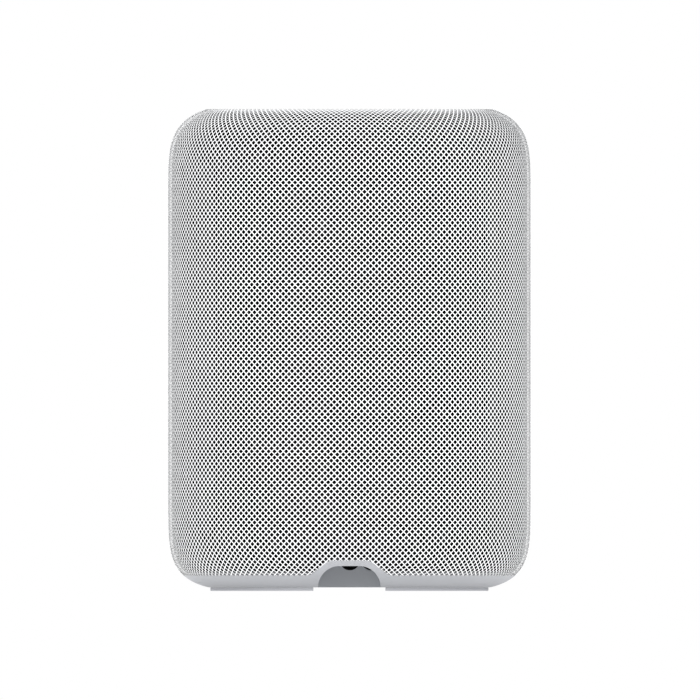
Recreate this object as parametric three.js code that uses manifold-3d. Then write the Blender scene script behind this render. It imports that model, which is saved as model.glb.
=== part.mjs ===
// Upright smart speaker: a rounded-square column wrapped in a fine mesh sleeve, standing on a smooth base.
// Millimetres, +Z up. The origin is the centre of the footprint; the front faces -Y and the cable side +Y.
import * as THREE from "three";
import { mergeVertices } from "three/addons/utils/BufferGeometryUtils.js";
import Module from "manifold-3d";

const wasm = await Module();
wasm.setup();

// ---- Driving dimensions -------------------------------------------------------------------------

const GAP = 0.3; // clearance between neighbouring pieces
const HALF_WIDTH = 73; // of the widest section, the same from side to side and from front to back
const HEIGHT = 194;
const SQUARENESS = 2.5; // power of the superelliptic plan outline, where 2 would be a circle

// Both ends of the side outline are quarter superellipses: where each starts, and how far it reaches.
const SHOULDER = { start: 159.1, height: 38, reach: 60, power: 4.17 };
const HEEL = { start: 41.6, height: 42, reach: 59, power: 5 };

const FOOT = { thickness: 1.1, outer: 56, inner: 42, gap: 14.5 }; // two pads with a gap between
const BASE = { bottom: 1.4, seam: 6.3, top: 26.5, deck: 2.5, wall: 2.5, lip: 54 };
const SKIN = { sleeve: 1.1, liner: 0.8, cage: 2 }; // radial thickness of the three outer shells
const TOP = { halfWidth: 56.4, flat: 55, below: 0.4, dish: 2.4, under: 189.6 }; // cover, just below the rim

const RECESS = { halfWidth: 13.5, ceiling: 21.5, back: 31, wall: 1.8 }; // pocket for the mains lead
const ARCH = { halfWidth: 12.6, top: 10, radius: 8.6 }; // way out of the pocket at the back
const BAND = { top: 12.2, flat: 6.5, end: 17.5 }; // smooth collar of the base around the arch

const INLET = { x: -4.5, z: 12.5, lobe: 4.1, spacing: 8.6, waist: 2.3, depth: 12 };
const JACK = { x: 9, z: 17, outer: 2.4, bore: 1.75 };
const BUTTON = { x: 9, z: 11.3, radius: 1.4, collar: 2 };

const BOX = {
  halfWidth: 66,
  bottom: 30,
  split: 130.5,
  top: 176.5,
  wall: 3,
  front: -52,
  back: 40,
  joint: 10,
};
const WOOFER = { z: 81, hole: 44.4, flange: 49, gasket: 0.8 };
const FULLRANGE = { z: 153.5, face: 57, turn: (25 * Math.PI) / 180, hole: 18.3 };

const SIDES = { outer: 40, inner: 28, round: 20, small: 10 }; // facets around each kind of piece
const BASE_TONGUE = SKIN.sleeve + SKIN.liner + 2.5 * GAP; // depth of the wall that stands inside the sleeve

// ---- Outlines -----------------------------------------------------------------------------------

// Half-width of the outer surface at height z.
function halfWidthAt(z) {
  const above = z > SHOULDER.start;
  const corner = above ? SHOULDER : HEEL;
  const climb = Math.max(0, above ? z - corner.start : corner.start - z) / corner.height;
  return HALF_WIDTH - corner.reach * (1 - (1 - climb ** corner.power) ** (1 / corner.power));
}

// Heights that follow one rounded end from its start to the height given, closer where it bends more.
function endHeights(corner, limit, steps) {
  const sign = Math.sign(limit - corner.start);
  const climb = Math.abs(limit - corner.start) / corner.height;
  const last = Math.asin(climb ** (corner.power / 2));
  const heights = [];
  for (let i = 1; i <= steps; i++) {
    heights.push(corner.start + sign * corner.height * Math.sin((last * i) / steps) ** (2 / corner.power));
  }
  return heights;
}

const KEY_HEIGHTS = [
  ...endHeights(HEEL, BASE.bottom, 5).reverse(),
  HEEL.start,
  SHOULDER.start,
  ...endHeights(SHOULDER, HEIGHT, 5),
];

// Side outline from one height up to another, moved inwards square to the surface.
function outline(from, to, inset) {
  const apart = 0.5;
  const between = KEY_HEIGHTS.filter((z) => z > from + apart && z < to - apart);
  const reach = 0.05;
  return [from, ...between, to].map((z) => {
    const slope = (halfWidthAt(z + reach) - halfWidthAt(z - reach)) / (2 * reach);
    const length = Math.hypot(1, slope);
    return new THREE.Vector2(halfWidthAt(z) - inset / length, z + (inset * slope) / length);
  });
}

// Edge of the base's collar at x: flat over the arch, then down to the seam in an S.
function collarHeight(x) {
  const along = THREE.MathUtils.clamp((Math.abs(x) - BAND.flat) / (BAND.end - BAND.flat), 0, 1);
  const low = BASE.seam - GAP;
  return low + ((BAND.top - low) * (1 + Math.cos(Math.PI * along))) / 2;
}

// ---- Solids -------------------------------------------------------------------------------------

// A closed geometry as a solid with its faces pointing out.
function solid(geometry) {
  const bare = geometry.clone();
  bare.deleteAttribute("normal");
  bare.deleteAttribute("uv");
  const merged = mergeVertices(bare, 1e-4);
  const corners = merged.index.array;
  const faces = [];
  for (let i = 0; i < corners.length; i += 3) {
    const [a, b, c] = corners.slice(i, i + 3);
    if (a !== b && b !== c && c !== a) faces.push([a, b, c]);
  }
  const build = (list) => {
    const triVerts = new Uint32Array(list.flat());
    const vertProperties = merged.attributes.position.array;
    return new wasm.Manifold(new wasm.Mesh({ numProp: 3, vertProperties, triVerts }));
  };
  const made = build(faces);
  return made.volume() > 0 ? made : build(faces.map(([a, b, c]) => [a, c, b]));
}

function geometryOf(body) {
  const { numProp, vertProperties, triVerts } = body.getMesh();
  const count = vertProperties.length / numProp;
  const positions = new Float32Array(count * 3);
  for (let i = 0; i < count; i++) {
    positions.set(vertProperties.subarray(i * numProp, i * numProp + 3), i * 3);
  }
  const geometry = new THREE.BufferGeometry();
  geometry.setAttribute("position", new THREE.BufferAttribute(positions, 3));
  geometry.setIndex(new THREE.BufferAttribute(triVerts, 1));
  geometry.computeVertexNormals();
  return geometry;
}

const points = (pairs) => pairs.map(([across, along]) => new THREE.Vector2(across, along));

// Solid of revolution about Y from a profile of radius and distance along Y.
function turned(pairs, sides = SIDES.round) {
  const profile = pairs[0].isVector2 ? pairs : points(pairs);
  const closed = profile[0].x > 0 ? [...profile, profile[0].clone()] : profile;
  return solid(new THREE.LatheGeometry(closed, sides));
}

// Upright solid with the rounded-square plan, from a profile of half-width and height.
function column(pairs, sides = SIDES.inner) {
  const profile = pairs[0].isVector2 ? pairs : points(pairs);
  const closed = profile[0].x > 0 ? [...profile, profile[0].clone()] : profile;
  const geometry = new THREE.LatheGeometry(closed, sides).rotateX(Math.PI / 2);
  const place = geometry.attributes.position;
  for (let i = 0; i < place.count; i++) {
    const x = place.getX(i);
    const y = place.getY(i);
    const radius = Math.hypot(x, y);
    if (radius > 0) {
      const power = Math.abs(x / radius) ** SQUARENESS + Math.abs(y / radius) ** SQUARENESS;
      const stretch = power ** (-1 / SQUARENESS);
      place.setXY(i, x * stretch, y * stretch);
    }
  }
  return solid(geometry);
}

// Shell that follows the outer surface between two depths below it.
function shell(from, to, outer, inner, sides) {
  return column([...outline(from, to, outer), ...outline(from, to, inner).reverse()], sides);
}

const slab = (halfWidth, z0, z1) => column([[0, z0], [halfWidth, z0], [halfWidth, z1], [0, z1]]);

function block(x0, x1, y0, y1, z0, z1) {
  const box = new THREE.BoxGeometry(x1 - x0, y1 - y0, z1 - z0);
  return solid(box.translate((x0 + x1) / 2, (y0 + y1) / 2, (z0 + z1) / 2));
}

// Round bar along Y at x, z.
function bar(radius, y0, y1, x = 0, z = 0, sides = SIDES.small) {
  const rod = new THREE.CylinderGeometry(radius, radius, y1 - y0, sides);
  return solid(rod.translate(x, (y0 + y1) / 2, z));
}

// Upright round post at x, y.
function post(radius, z0, z1, x, y, sides = SIDES.small) {
  const rod = new THREE.CylinderGeometry(radius, radius, z1 - z0, sides).rotateX(Math.PI / 2);
  return solid(rod.translate(x, y, (z0 + z1) / 2));
}

// Plate cut to an outline in X and Z, reaching from y0 to y1.
function plate(pairs, y0, y1) {
  const shape = new THREE.Shape(points(pairs));
  const slice = new THREE.ExtrudeGeometry(shape, { depth: y1 - y0, bevelEnabled: false });
  return solid(slice.rotateX(Math.PI / 2).translate(0, y1, 0));
}

const join = (first, ...others) => others.reduce((made, other) => made.add(other), first);
const cut = (first, ...others) => others.reduce((made, other) => made.subtract(other), first);
const common = (first, ...others) => others.reduce((made, other) => made.intersect(other), first);

// ---- Scene --------------------------------------------------------------------------------------

const speaker = new THREE.Group();

const finish = (color, roughness, metalness = 0) => ({ color, roughness, metalness });
const LOOK = {
  mesh: finish(0xe9e9ea, 0.5),
  shell: finish(0xb9bcc2, 0.42),
  panel: finish(0xd9dadd, 0.35),
  black: finish(0x17181a, 0.75),
  darkGrey: finish(0x74777c, 0.5),
  rubber: finish(0x9a9da3, 0.8),
  paper: finish(0x26272a, 0.85),
  steel: finish(0xb8babd, 0.35, 1),
  ferrite: finish(0x333437, 0.6, 0.3),
  aluminium: finish(0xc4c6c8, 0.4, 1),
  board: finish(0x1f5a37, 0.55),
  lens: finish(0xf4f6f7, 0.2),
  copper: finish(0xb8733a, 0.4, 1),
  cloth: finish(0xb58a4a, 0.9),
};

function add(name, body, look, parent = speaker) {
  const mesh = new THREE.Mesh(geometryOf(body), new THREE.MeshStandardMaterial(look));
  mesh.name = name;
  parent.add(mesh);
  return mesh;
}

// ---- Base and cable pocket ----------------------------------------------------------------------

// Outline below the collar's edge, which the sleeve and liner keep clear of.
function collarPlate(clearance) {
  const reach = BAND.end + 3;
  const pairs = [[-reach, 0]];
  for (let x = -reach; x <= reach; x += 1) pairs.push([x, collarHeight(x) + clearance]);
  pairs.push([reach, 0]);
  return plate(pairs, 0, HALF_WIDTH + 2);
}

// The arch: two quarter circles that stand on the underside of the base, with a level stretch between.
function archPlate() {
  const { halfWidth, top, radius } = ARCH;
  const middle = halfWidth - radius;
  const arch = new THREE.Shape().moveTo(halfWidth, -1);
  arch.absarc(middle, top - radius, radius, 0, Math.PI / 2);
  arch.absarc(-middle, top - radius, radius, Math.PI / 2, Math.PI);
  arch.lineTo(-halfWidth, -1);
  return plate(arch.getPoints(8).map((p) => [p.x, p.y]), RECESS.back, HALF_WIDTH + 2);
}

const screwPlaces = [-28, 28].flatMap((x) => [-28, 24].map((y) => [x, y]));

// Inside of the base's wall from the bottom up, moved further in by a clearance.
function baseInside(clearance) {
  const lip = BASE.lip - clearance;
  const wall = outline(BASE.seam + 4, BASE.top, BASE_TONGUE + BASE.wall + clearance);
  return [[lip, BASE.bottom], [lip, BASE.seam - 1], ...wall.map((p) => [p.x, p.y])];
}

function baseHousing() {
  const low = BASE.seam - GAP;
  const ring = column(
    [
      ...outline(BASE.bottom, low, 0),
      ...outline(low, BASE.top, BASE_TONGUE),
      ...points(baseInside(0)).reverse(),
    ],
    SIDES.outer,
  );
  const skin = column(
    [
      new THREE.Vector2(halfWidthAt(low - 1) - 2, low - 1),
      ...outline(low, BAND.top + 2, 0),
      ...outline(low, BAND.top + 2, BASE_TONGUE + 1).reverse(),
    ],
    SIDES.outer,
  );
  const collar = common(skin, collarPlate(0));
  const under = BASE.top - BASE.deck;
  const edge = halfWidthAt(BASE.top) - BASE_TONGUE - 1;
  const deck = column([[0, under], [edge, under], [edge, BASE.top], [0, BASE.top]], SIDES.outer);
  const bosses = screwPlaces.map(([x, y]) => post(3.6, 5, BASE.top - 1, x, y));
  const holes = screwPlaces.map(([x, y]) => post(1.8, 0, BASE.top - 4, x, y));
  return cut(join(ring, collar, deck, ...bosses), archPlate(), ...holes);
}

// Figure of eight of the mains inlet, grown by an amount, from y0 to y1.
function figureEight(grow, y0, y1) {
  const half = INLET.spacing / 2;
  const radius = INLET.lobe + grow;
  const lobes = [-half, half].map((side) => bar(radius, y0, y1, INLET.x + side, INLET.z, SIDES.round));
  const waist = INLET.waist + grow;
  return join(...lobes, block(INLET.x - half, INLET.x + half, y0, y1, INLET.z - waist, INLET.z + waist));
}

// Lining of the pocket: two sides, a ceiling, and the wall that holds the sockets.
function cableRecess() {
  const { halfWidth, ceiling, back, wall } = RECESS;
  const room = column([[0, BASE.bottom], ...baseInside(GAP), [0, BASE.top]], SIDES.outer);
  const side = halfWidth + wall;
  const outer = block(-side, side, back - wall, HALF_WIDTH, BASE.bottom, ceiling + wall);
  const hollow = block(-halfWidth, halfWidth, back, HALF_WIDTH + 1, -1, ceiling);
  const button = bar(BUTTON.radius + GAP, 0, HALF_WIDTH, BUTTON.x, BUTTON.z);
  const jack = bar(JACK.outer + GAP, 0, HALF_WIDTH, JACK.x, JACK.z);
  return cut(common(outer, room), hollow, figureEight(0.1, back - 5, back + 5), button, jack);
}

function bottomCover() {
  const edge = BASE.lip - GAP;
  const side = RECESS.halfWidth + RECESS.wall + GAP;
  const sheet = slab(edge, BASE.bottom, BASE.bottom + 3);
  const slot = block(-side, side, RECESS.back - RECESS.wall - GAP, HALF_WIDTH, 0, 10);
  const wells = screwPlaces.map(([x, y]) => post(3.3, 0, BASE.bottom + 1.6, x, y));
  const holes = screwPlaces.map(([x, y]) => post(1.7, 0, BASE.bottom + 5, x, y));
  return cut(sheet, slot, ...wells, ...holes);
}

// Pad under one side of the base, on the side that the sign gives.
function footPad(sign) {
  const { outer, inner, thickness, gap } = FOOT;
  const edge = 0.4;
  const profile = [[inner, 0], [outer - edge, 0], [outer, edge], [outer, thickness], [inner, thickness]];
  const far = sign * HALF_WIDTH;
  const near = sign * gap;
  const half = block(Math.min(near, far), Math.max(near, far), -HALF_WIDTH, HALF_WIDTH, -1, 3);
  return common(column(profile, SIDES.outer), half);
}

// Pan-head screw from below, with a cross in its head.
function baseScrew(x, y) {
  const head = BASE.bottom + 0.1;
  const body = join(post(2.9, head, head + 1.2, x, y), post(1.3, head + 1, 16, x, y, 10));
  const cross = [[1.6, 0.3], [0.3, 1.6]].map(([a, b]) => block(x - a, x + a, y - b, y + b, 0, head + 0.6));
  return cut(body, ...cross);
}

add("base_housing", baseHousing(), LOOK.shell);
add("cable_recess", cableRecess(), LOOK.darkGrey);
add("bottom_cover", bottomCover(), LOOK.shell);
add("foot_left", footPad(-1), LOOK.rubber);
add("foot_right", footPad(1), LOOK.rubber);
screwPlaces.forEach(([x, y], i) => add(`base_screw_${i + 1}`, baseScrew(x, y), LOOK.steel));

// ---- Sockets and button in the pocket -----------------------------------------------------------

// Socket that stands behind the wall and takes the plug through the wall's opening.
function mainsInlet() {
  const behind = RECESS.back - RECESS.wall - GAP;
  const floor = RECESS.back - INLET.depth;
  const body = block(INLET.x - 10, INLET.x + 10, floor - 3, behind, INLET.z - 6.4, INLET.z + 6.4);
  const holes = pinPlaces.map((x) => bar(1.5, floor - 5, floor + 1, x, INLET.z, 12));
  return cut(body, figureEight(0, floor, behind + 1), ...holes);
}

const pinPlaces = [-1, 1].map((side) => INLET.x + (side * INLET.spacing) / 2);

function lineJack() {
  const behind = RECESS.back - RECESS.wall - GAP;
  const body = block(JACK.x - 3, JACK.x + 4, behind - 12, behind, JACK.z - 2.5, JACK.z + 3.5);
  const nose = bar(JACK.outer, behind - 1, RECESS.back + 0.2, JACK.x, JACK.z);
  return cut(join(body, nose), bar(JACK.bore, behind - 10, HALF_WIDTH, JACK.x, JACK.z));
}

// A short plunger with a collar behind the wall, which keeps it from falling out.
function setupButton() {
  const behind = RECESS.back - RECESS.wall - GAP;
  const { x, z, radius, collar } = BUTTON;
  return join(bar(radius, behind - 2, RECESS.back + 0.4, x, z), bar(collar, behind - 1.2, behind, x, z));
}

function setupSwitch() {
  const front = RECESS.back - RECESS.wall - GAP - 3.2;
  const { x, z } = BUTTON;
  const half = 2.4;
  const body = block(x - half, x + half, front - 4, front, z - half, z + half);
  return join(body, bar(0.9, front - 1, front + 0.5, x, z, 12));
}

add("mains_inlet", mainsInlet(), LOOK.black);
pinPlaces.forEach((x, i) => {
  const tip = RECESS.back - INLET.depth;
  add(`inlet_pin_${i + 1}`, bar(1.2, tip - 2.4, tip + 9, x, INLET.z, 16), LOOK.steel);
});
add("line_in_jack", lineJack(), LOOK.black);
add("setup_button", setupButton(), LOOK.darkGrey);
add("setup_switch", setupSwitch(), LOOK.black);
add("port_board", block(-19, 19, 12, 13.6, 5.5, 23), LOOK.board);

// ---- Mesh sleeve, liner and cage ----------------------------------------------------------------

function meshSleeve() {
  const wrap = shell(BASE.seam, HEIGHT, 0, SKIN.sleeve, SIDES.outer);
  return cut(wrap, collarPlate(GAP));
}

function acousticLiner() {
  const outer = SKIN.sleeve + GAP;
  const wrap = shell(BASE.seam + 0.4, HEIGHT - 0.2, outer, outer + SKIN.liner, SIDES.outer);
  return cut(wrap, collarPlate(1));
}

function sleeveCage() {
  const outer = BASE_TONGUE + 0.2;
  const wrap = shell(BASE.top + 1, 184, outer, outer + SKIN.cage, SIDES.outer);
  const far = HALF_WIDTH;
  const front = block(-54, 54, -far, -30, 29, 179);
  const rear = block(-32, 32, 30, far, 66, 146);
  const sides = [[40, 98], [106, 164]].map(([low, high]) => block(-far, far, -18, 22, low, high));
  return cut(wrap, front, rear, ...sides);
}

add("mesh_sleeve", meshSleeve(), LOOK.mesh);
add("acoustic_liner", acousticLiner(), LOOK.black);
add("sleeve_cage", sleeveCage(), LOOK.black);

// ---- Touch top ----------------------------------------------------------------------------------

const LIGHT = { y: -45, halfLength: 4, halfWidth: 1 };

// Height of the dished top at a distance from the middle, measured as half-width.
const dishHeight = (r) => HEIGHT - TOP.below - TOP.dish * (1 - (r / TOP.flat) ** 2);

function topCover() {
  const top = [0, 18, 32, 44, TOP.flat].map((r) => [r, dishHeight(r)]);
  const { halfWidth: level, under } = TOP;
  const edge = level + 0.7;
  const brim = HEIGHT - TOP.below;
  const side = [[level, brim], [edge, brim - 0.5], [edge, under + 1], [edge - 1, under], [0, under]];
  const { y, halfLength, halfWidth } = LIGHT;
  const window = block(-halfLength, halfLength, y - halfWidth, y + halfWidth, under - 1, HEIGHT);
  return cut(column([...top, ...side], SIDES.outer), window);
}

function statusLens() {
  const across = LIGHT.halfLength - GAP;
  const along = LIGHT.halfWidth - GAP;
  const top = dishHeight(-LIGHT.y) - 0.2;
  return block(-across, across, LIGHT.y - along, LIGHT.y + along, TOP.under + 0.4, top);
}

function topHousing() {
  const low = BOX.top + 1.5;
  const top = TOP.under - GAP;
  const edge = TOP.halfWidth - 0.3;
  const wall = 2.4;
  const outside = [[0, low], [edge - 2, low], [edge, low + 2], [edge, top]];
  return column([...outside, [edge - wall, top], [edge - wall, low + wall], [0, low + wall]]);
}

add("top_cover", topCover(), LOOK.panel);
add("status_light_lens", statusLens(), LOOK.lens);
add("status_light_guide", block(-3.5, 3.5, LIGHT.y - 1.5, LIGHT.y + 1.5, 186, TOP.under - 0.1), LOOK.lens);
add("touch_sensor_sheet", slab(41, TOP.under - 0.9, TOP.under - GAP), LOOK.cloth);
add("control_board", slab(50, 184, 185.6), LOOK.board);
const microphonePlaces = [-30, 30].flatMap((x) => [-28, 28].map((y) => [x, y]));
microphonePlaces.forEach(([x, y], i) => {
  add(`microphone_${i + 1}`, post(2.4, 185.9, 188.4, x, y, 16), LOOK.steel);
});
add("top_housing", topHousing(), LOOK.black);

// ---- Speaker box --------------------------------------------------------------------------------

// Everything behind a driver's sloping face, which is turned about Z.
function behindFace(turn, face) {
  const size = 400;
  return solid(new THREE.BoxGeometry(size, size, size).translate(0, size / 2 - face, 0).rotateZ(turn));
}

// The box as a solid, made smaller all round: a flat front below, two angled faces above.
function boxBody(inset) {
  const { halfWidth, bottom, split, top, front, back } = BOX;
  const edge = halfWidth - inset;
  const flatFront = (z0, z1) => common(
    slab(edge, z0, z1),
    block(-halfWidth, halfWidth, front + inset, back - inset, z0, z1),
  );
  const angledFaces = (z0, z1) => common(
    slab(edge, z0, z1),
    block(-halfWidth, halfWidth, -HALF_WIDTH, back - inset, z0, z1),
    behindFace(FULLRANGE.turn, FULLRANGE.face - inset),
    behindFace(-FULLRANGE.turn, FULLRANGE.face - inset),
  );
  const neck = [split - inset - 1, split + inset + 1];
  return join(
    flatFront(bottom + inset, split - inset),
    common(flatFront(...neck), angledFaces(...neck)),
    angledFaces(split + inset, top - inset),
  );
}

function speakerBox() {
  const woofer = bar(WOOFER.hole, BOX.front - 5, BOX.front + 8, 0, WOOFER.z, SIDES.round);
  const fullrange = [-1, 1].map((side) => {
    const hole = new THREE.CylinderGeometry(FULLRANGE.hole, FULLRANGE.hole, 16, SIDES.round);
    hole.translate(0, -FULLRANGE.face, 0).rotateZ(side * FULLRANGE.turn);
    return solid(hole.translate(0, 0, FULLRANGE.z));
  });
  return cut(boxBody(0), boxBody(BOX.wall), woofer, ...fullrange);
}

const hollowBox = speakerBox();
const slice = (y0, y1) => common(hollowBox, block(-HALF_WIDTH, HALF_WIDTH, y0, y1, 0, HEIGHT));
add("enclosure_front", slice(-HALF_WIDTH, BOX.joint - 0.8), LOOK.black);
add("enclosure_seal", slice(BOX.joint - 0.5, BOX.joint + 0.5), LOOK.rubber);
add("enclosure_rear", slice(BOX.joint + 0.8, HALF_WIDTH), LOOK.black);

// ---- Woofer -------------------------------------------------------------------------------------

// Profiles run from the cone's axis outwards as radius and distance behind the flange's seat.
const woofer = new THREE.Group();
woofer.position.set(0, BOX.front - 2 * GAP - WOOFER.gasket, WOOFER.z);
speaker.add(woofer);

function wooferBasket() {
  const ring = turned([
    [44.4, -2.2], [WOOFER.flange, -2.2], [WOOFER.flange, 0], [44, 0], [41.6, 7], [31.2, 27], [31.2, 33.5],
    [14.2, 33.5], [14.2, 31.5], [29.2, 31.5], [29.2, 27], [39.7, 6.5], [41.8, -0.8], [44.4, -0.8],
  ]);
  const windows = [0, 1, 2, 3, 4, 5].map((i) => {
    const opening = new THREE.BoxGeometry(18, 13, 15).translate(0, 16, 36);
    return solid(opening.rotateY((i * Math.PI) / 3));
  });
  return cut(ring, ...windows);
}

const GASKET = [[45, -WOOFER.gasket], [WOOFER.flange, -WOOFER.gasket], [WOOFER.flange, 0], [45, 0]];
const SURROUND = [
  [44.1, -1.9], [42.4, -1.9], [41.6, -3.9], [40.4, -4.7], [39.2, -3.9], [38.4, -1.6], [37.1, -1.6],
  [37.1, -0.8], [38.9, -0.8], [39.7, -3.2], [40.4, -3.8], [41.1, -3.2], [41.7, -1.1], [44.1, -1.1],
];
const CONE = [
  [36.8, -0.6], [30, 5.6], [22, 13], [13.5, 19.3], [13.5, 20.6], [22, 14.3], [30, 6.9], [36.8, 0.7],
];
const DUST_CAP = [
  [0, 11.2], [8, 12.6], [13, 15], [15.6, 17.2], [14.4, 17.2], [12, 15.6], [7.5, 13.5], [0, 12.1],
];
const VOICE_COIL = [[12.3, 19], [13.2, 19], [13.2, 44], [12.3, 44]];
const TOP_PLATE = [[14, 33.8], [27.5, 33.8], [27.5, 38.3], [14, 38.3]];
const MAGNET = [[17, 38.6], [32, 38.6], [32, 51], [17, 51]];
const YOKE = [[0, 34], [11.6, 34], [11.6, 51.3], [29, 51.3], [29, 55.8], [0, 55.8]];

// Corrugated centring disc behind the cone.
function wooferSpider() {
  const waves = 3;
  const [inner, outer] = [13.6, 28.8];
  const edge = (lift) => {
    const steps = Array.from({ length: waves * 2 + 1 }, (_, i) => i);
    return steps.map((i) => [inner + ((outer - inner) * i) / (waves * 2), lift + (i % 2 ? 0.9 : 0)]);
  };
  return turned([...edge(27), ...edge(27.6).reverse()]);
}

add("woofer_basket", wooferBasket(), LOOK.steel, woofer);
add("woofer_surround", turned(SURROUND), LOOK.black, woofer);
add("woofer_cone", turned(CONE), LOOK.paper, woofer);
add("woofer_dust_cap", turned(DUST_CAP), LOOK.paper, woofer);
add("woofer_voice_coil", turned(VOICE_COIL), LOOK.copper, woofer);
add("woofer_spider", wooferSpider(), LOOK.cloth, woofer);
add("woofer_top_plate", turned(TOP_PLATE), LOOK.steel, woofer);
add("woofer_magnet", turned(MAGNET), LOOK.ferrite, woofer);
add("woofer_yoke", turned(YOKE), LOOK.steel, woofer);
const gasket = add("woofer_gasket", turned(GASKET), LOOK.black, woofer);
gasket.position.y = WOOFER.gasket + GAP;

// ---- Full-range drivers -------------------------------------------------------------------------

const SMALL_BASKET = [
  [19.3, -2.2], [22, -2.2], [22, 0], [17.9, 0], [17.9, 12.5],
  [9, 12.5], [9, 11], [16.3, 11], [16.3, -0.8], [19.3, -0.8],
];
const SMALL_SURROUND = [
  [19, -1.9], [17.9, -1.9], [17.3, -2.9], [16.7, -2.9], [16.2, -1.9], [15.4, -1.9], [15.4, -1.1], [19, -1.1],
];
const SMALL_DIAPHRAGM = [
  [0, -1.9], [15.1, -1.9], [15.1, -1], [8.1, -1], [8.1, 15], [7.3, 15], [7.3, -1], [0, -1],
];
const SMALL_MAGNET = [
  [0, 12.9], [6.8, 12.9], [6.8, 18.5], [8.7, 18.5], [8.7, 12.8], [12.5, 12.8], [12.5, 22], [0, 22],
];

const SMALL_SIDES = 18;

[["left", -1], ["right", 1]].forEach(([side, sign]) => {
  const turn = sign * FULLRANGE.turn;
  const seat = FULLRANGE.face + GAP;
  const driver = new THREE.Group();
  driver.position.set(seat * Math.sin(turn), -seat * Math.cos(turn), FULLRANGE.z);
  driver.rotation.z = turn;
  speaker.add(driver);
  add(`${side}_driver_basket`, turned(SMALL_BASKET, SMALL_SIDES), LOOK.steel, driver);
  add(`${side}_driver_surround`, turned(SMALL_SURROUND, SMALL_SIDES), LOOK.black, driver);
  add(`${side}_driver_diaphragm`, turned(SMALL_DIAPHRAGM, SMALL_SIDES), LOOK.paper, driver);
  add(`${side}_driver_magnet`, turned(SMALL_MAGNET, SMALL_SIDES), LOOK.ferrite, driver);
});

// ---- Electronics behind the box -----------------------------------------------------------------

const BAY = { board: BOX.back + 1, thickness: 1.6 };

function heatSink() {
  const foot = BAY.board + BAY.thickness + GAP;
  const base = block(-33, 33, foot, foot + 3.5, 76, 136);
  const fins = Array.from({ length: 11 }, (_, i) => {
    const x = -32 + (i * 64) / 10;
    return block(x - 0.8, x + 0.8, foot + 3, foot + 16, 76, 136);
  });
  return join(base, ...fins);
}

// Winding between two core cheeks.
function transformer() {
  const y = BAY.board + BAY.thickness + GAP;
  const core = block(-32, -10, y + 4, y + 14, 31, 52);
  const winding = block(-29, -13, y, y + 17, 35, 48);
  return join(core, winding);
}

const behindBoard = BAY.board + BAY.thickness + GAP;
add("main_board", block(-44, 44, BAY.board, BAY.board + BAY.thickness, 62, 152), LOOK.board);
add("heat_sink", heatSink(), LOOK.aluminium);
add("power_board", block(-42, 42, BAY.board, BAY.board + BAY.thickness, 28, 58), LOOK.board);
add("transformer", transformer(), LOOK.cloth);
add("reservoir_capacitor", post(7, 31, 55, 12, behindBoard + 7.2, 24), LOOK.black);
[["left", -1], ["right", 1]].forEach(([side, sign]) => {
  const x = sign * 36;
  add(`antenna_${side}`, block(x - 9, x + 9, BAY.board, BAY.board + 0.8, 156, 172), LOOK.copper);
});

export default speaker;
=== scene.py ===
import math

import bmesh
import bpy
import numpy as np
from mathutils import Matrix, Vector


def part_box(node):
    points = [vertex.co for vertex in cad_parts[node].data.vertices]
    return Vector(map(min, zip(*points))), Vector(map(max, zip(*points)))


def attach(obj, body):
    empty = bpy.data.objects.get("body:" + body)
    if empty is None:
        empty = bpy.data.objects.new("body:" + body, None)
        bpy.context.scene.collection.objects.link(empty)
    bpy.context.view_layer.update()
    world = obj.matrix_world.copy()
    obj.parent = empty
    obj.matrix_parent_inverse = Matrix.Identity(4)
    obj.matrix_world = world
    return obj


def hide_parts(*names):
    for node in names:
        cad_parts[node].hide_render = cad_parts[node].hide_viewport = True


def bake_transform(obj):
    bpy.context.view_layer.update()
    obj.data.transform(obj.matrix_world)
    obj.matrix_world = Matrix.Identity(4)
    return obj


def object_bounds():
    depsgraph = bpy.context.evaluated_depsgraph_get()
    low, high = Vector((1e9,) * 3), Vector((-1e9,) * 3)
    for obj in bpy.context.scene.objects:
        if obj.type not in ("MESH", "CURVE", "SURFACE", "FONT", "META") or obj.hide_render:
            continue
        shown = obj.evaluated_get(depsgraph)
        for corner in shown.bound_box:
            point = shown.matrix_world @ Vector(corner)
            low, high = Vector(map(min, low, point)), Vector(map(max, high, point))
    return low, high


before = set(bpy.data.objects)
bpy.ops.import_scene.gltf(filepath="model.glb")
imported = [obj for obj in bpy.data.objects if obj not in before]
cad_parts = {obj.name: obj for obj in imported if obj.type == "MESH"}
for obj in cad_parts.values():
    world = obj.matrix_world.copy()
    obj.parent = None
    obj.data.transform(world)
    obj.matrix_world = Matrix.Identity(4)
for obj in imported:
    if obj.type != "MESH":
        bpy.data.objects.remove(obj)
CAD_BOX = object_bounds()
MM = 0.001

# ---- Sizes, in metres ----

SLEEVE_LOW, SLEEVE_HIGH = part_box("mesh_sleeve")
HALF_WIDTH = SLEEVE_HIGH.x
HEIGHT = CAD_BOX[1][2]
BASE_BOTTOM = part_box("base_housing")[0].z
BASE_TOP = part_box("base_housing")[1].z
RIM_Z = SLEEVE_HIGH.z  # where the mesh ends at the top
SEAM_Z = SLEEVE_LOW.z - 0.15 * MM  # where the mesh meets the base
SQUARENESS = 2.5  # power of the superelliptic plan

# Both ends of the side outline are quarter superellipses: start height, height, reach, power.
SHOULDER = (159.1 * MM, 38 * MM, 60 * MM, 4.17)
HEEL = (41.6 * MM, 42 * MM, 59 * MM, 5.0)

COLLAR_TOP, COLLAR_FLAT, COLLAR_END = 12.2 * MM, 6.5 * MM, 17.5 * MM
ARCH_HALF, ARCH_TOP, ARCH_RADIUS = 12.6 * MM, 10 * MM, 8.6 * MM

MESH_COLUMNS = 196  # openings in one row round the sleeve
MESH_ROW = 1.2445 * MM  # from one row to the next, along the outline
MESH_ROW_AT = 47.46 * MM  # a row with an opening on the middle of the back
MESH_SECTORS = 6

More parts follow.
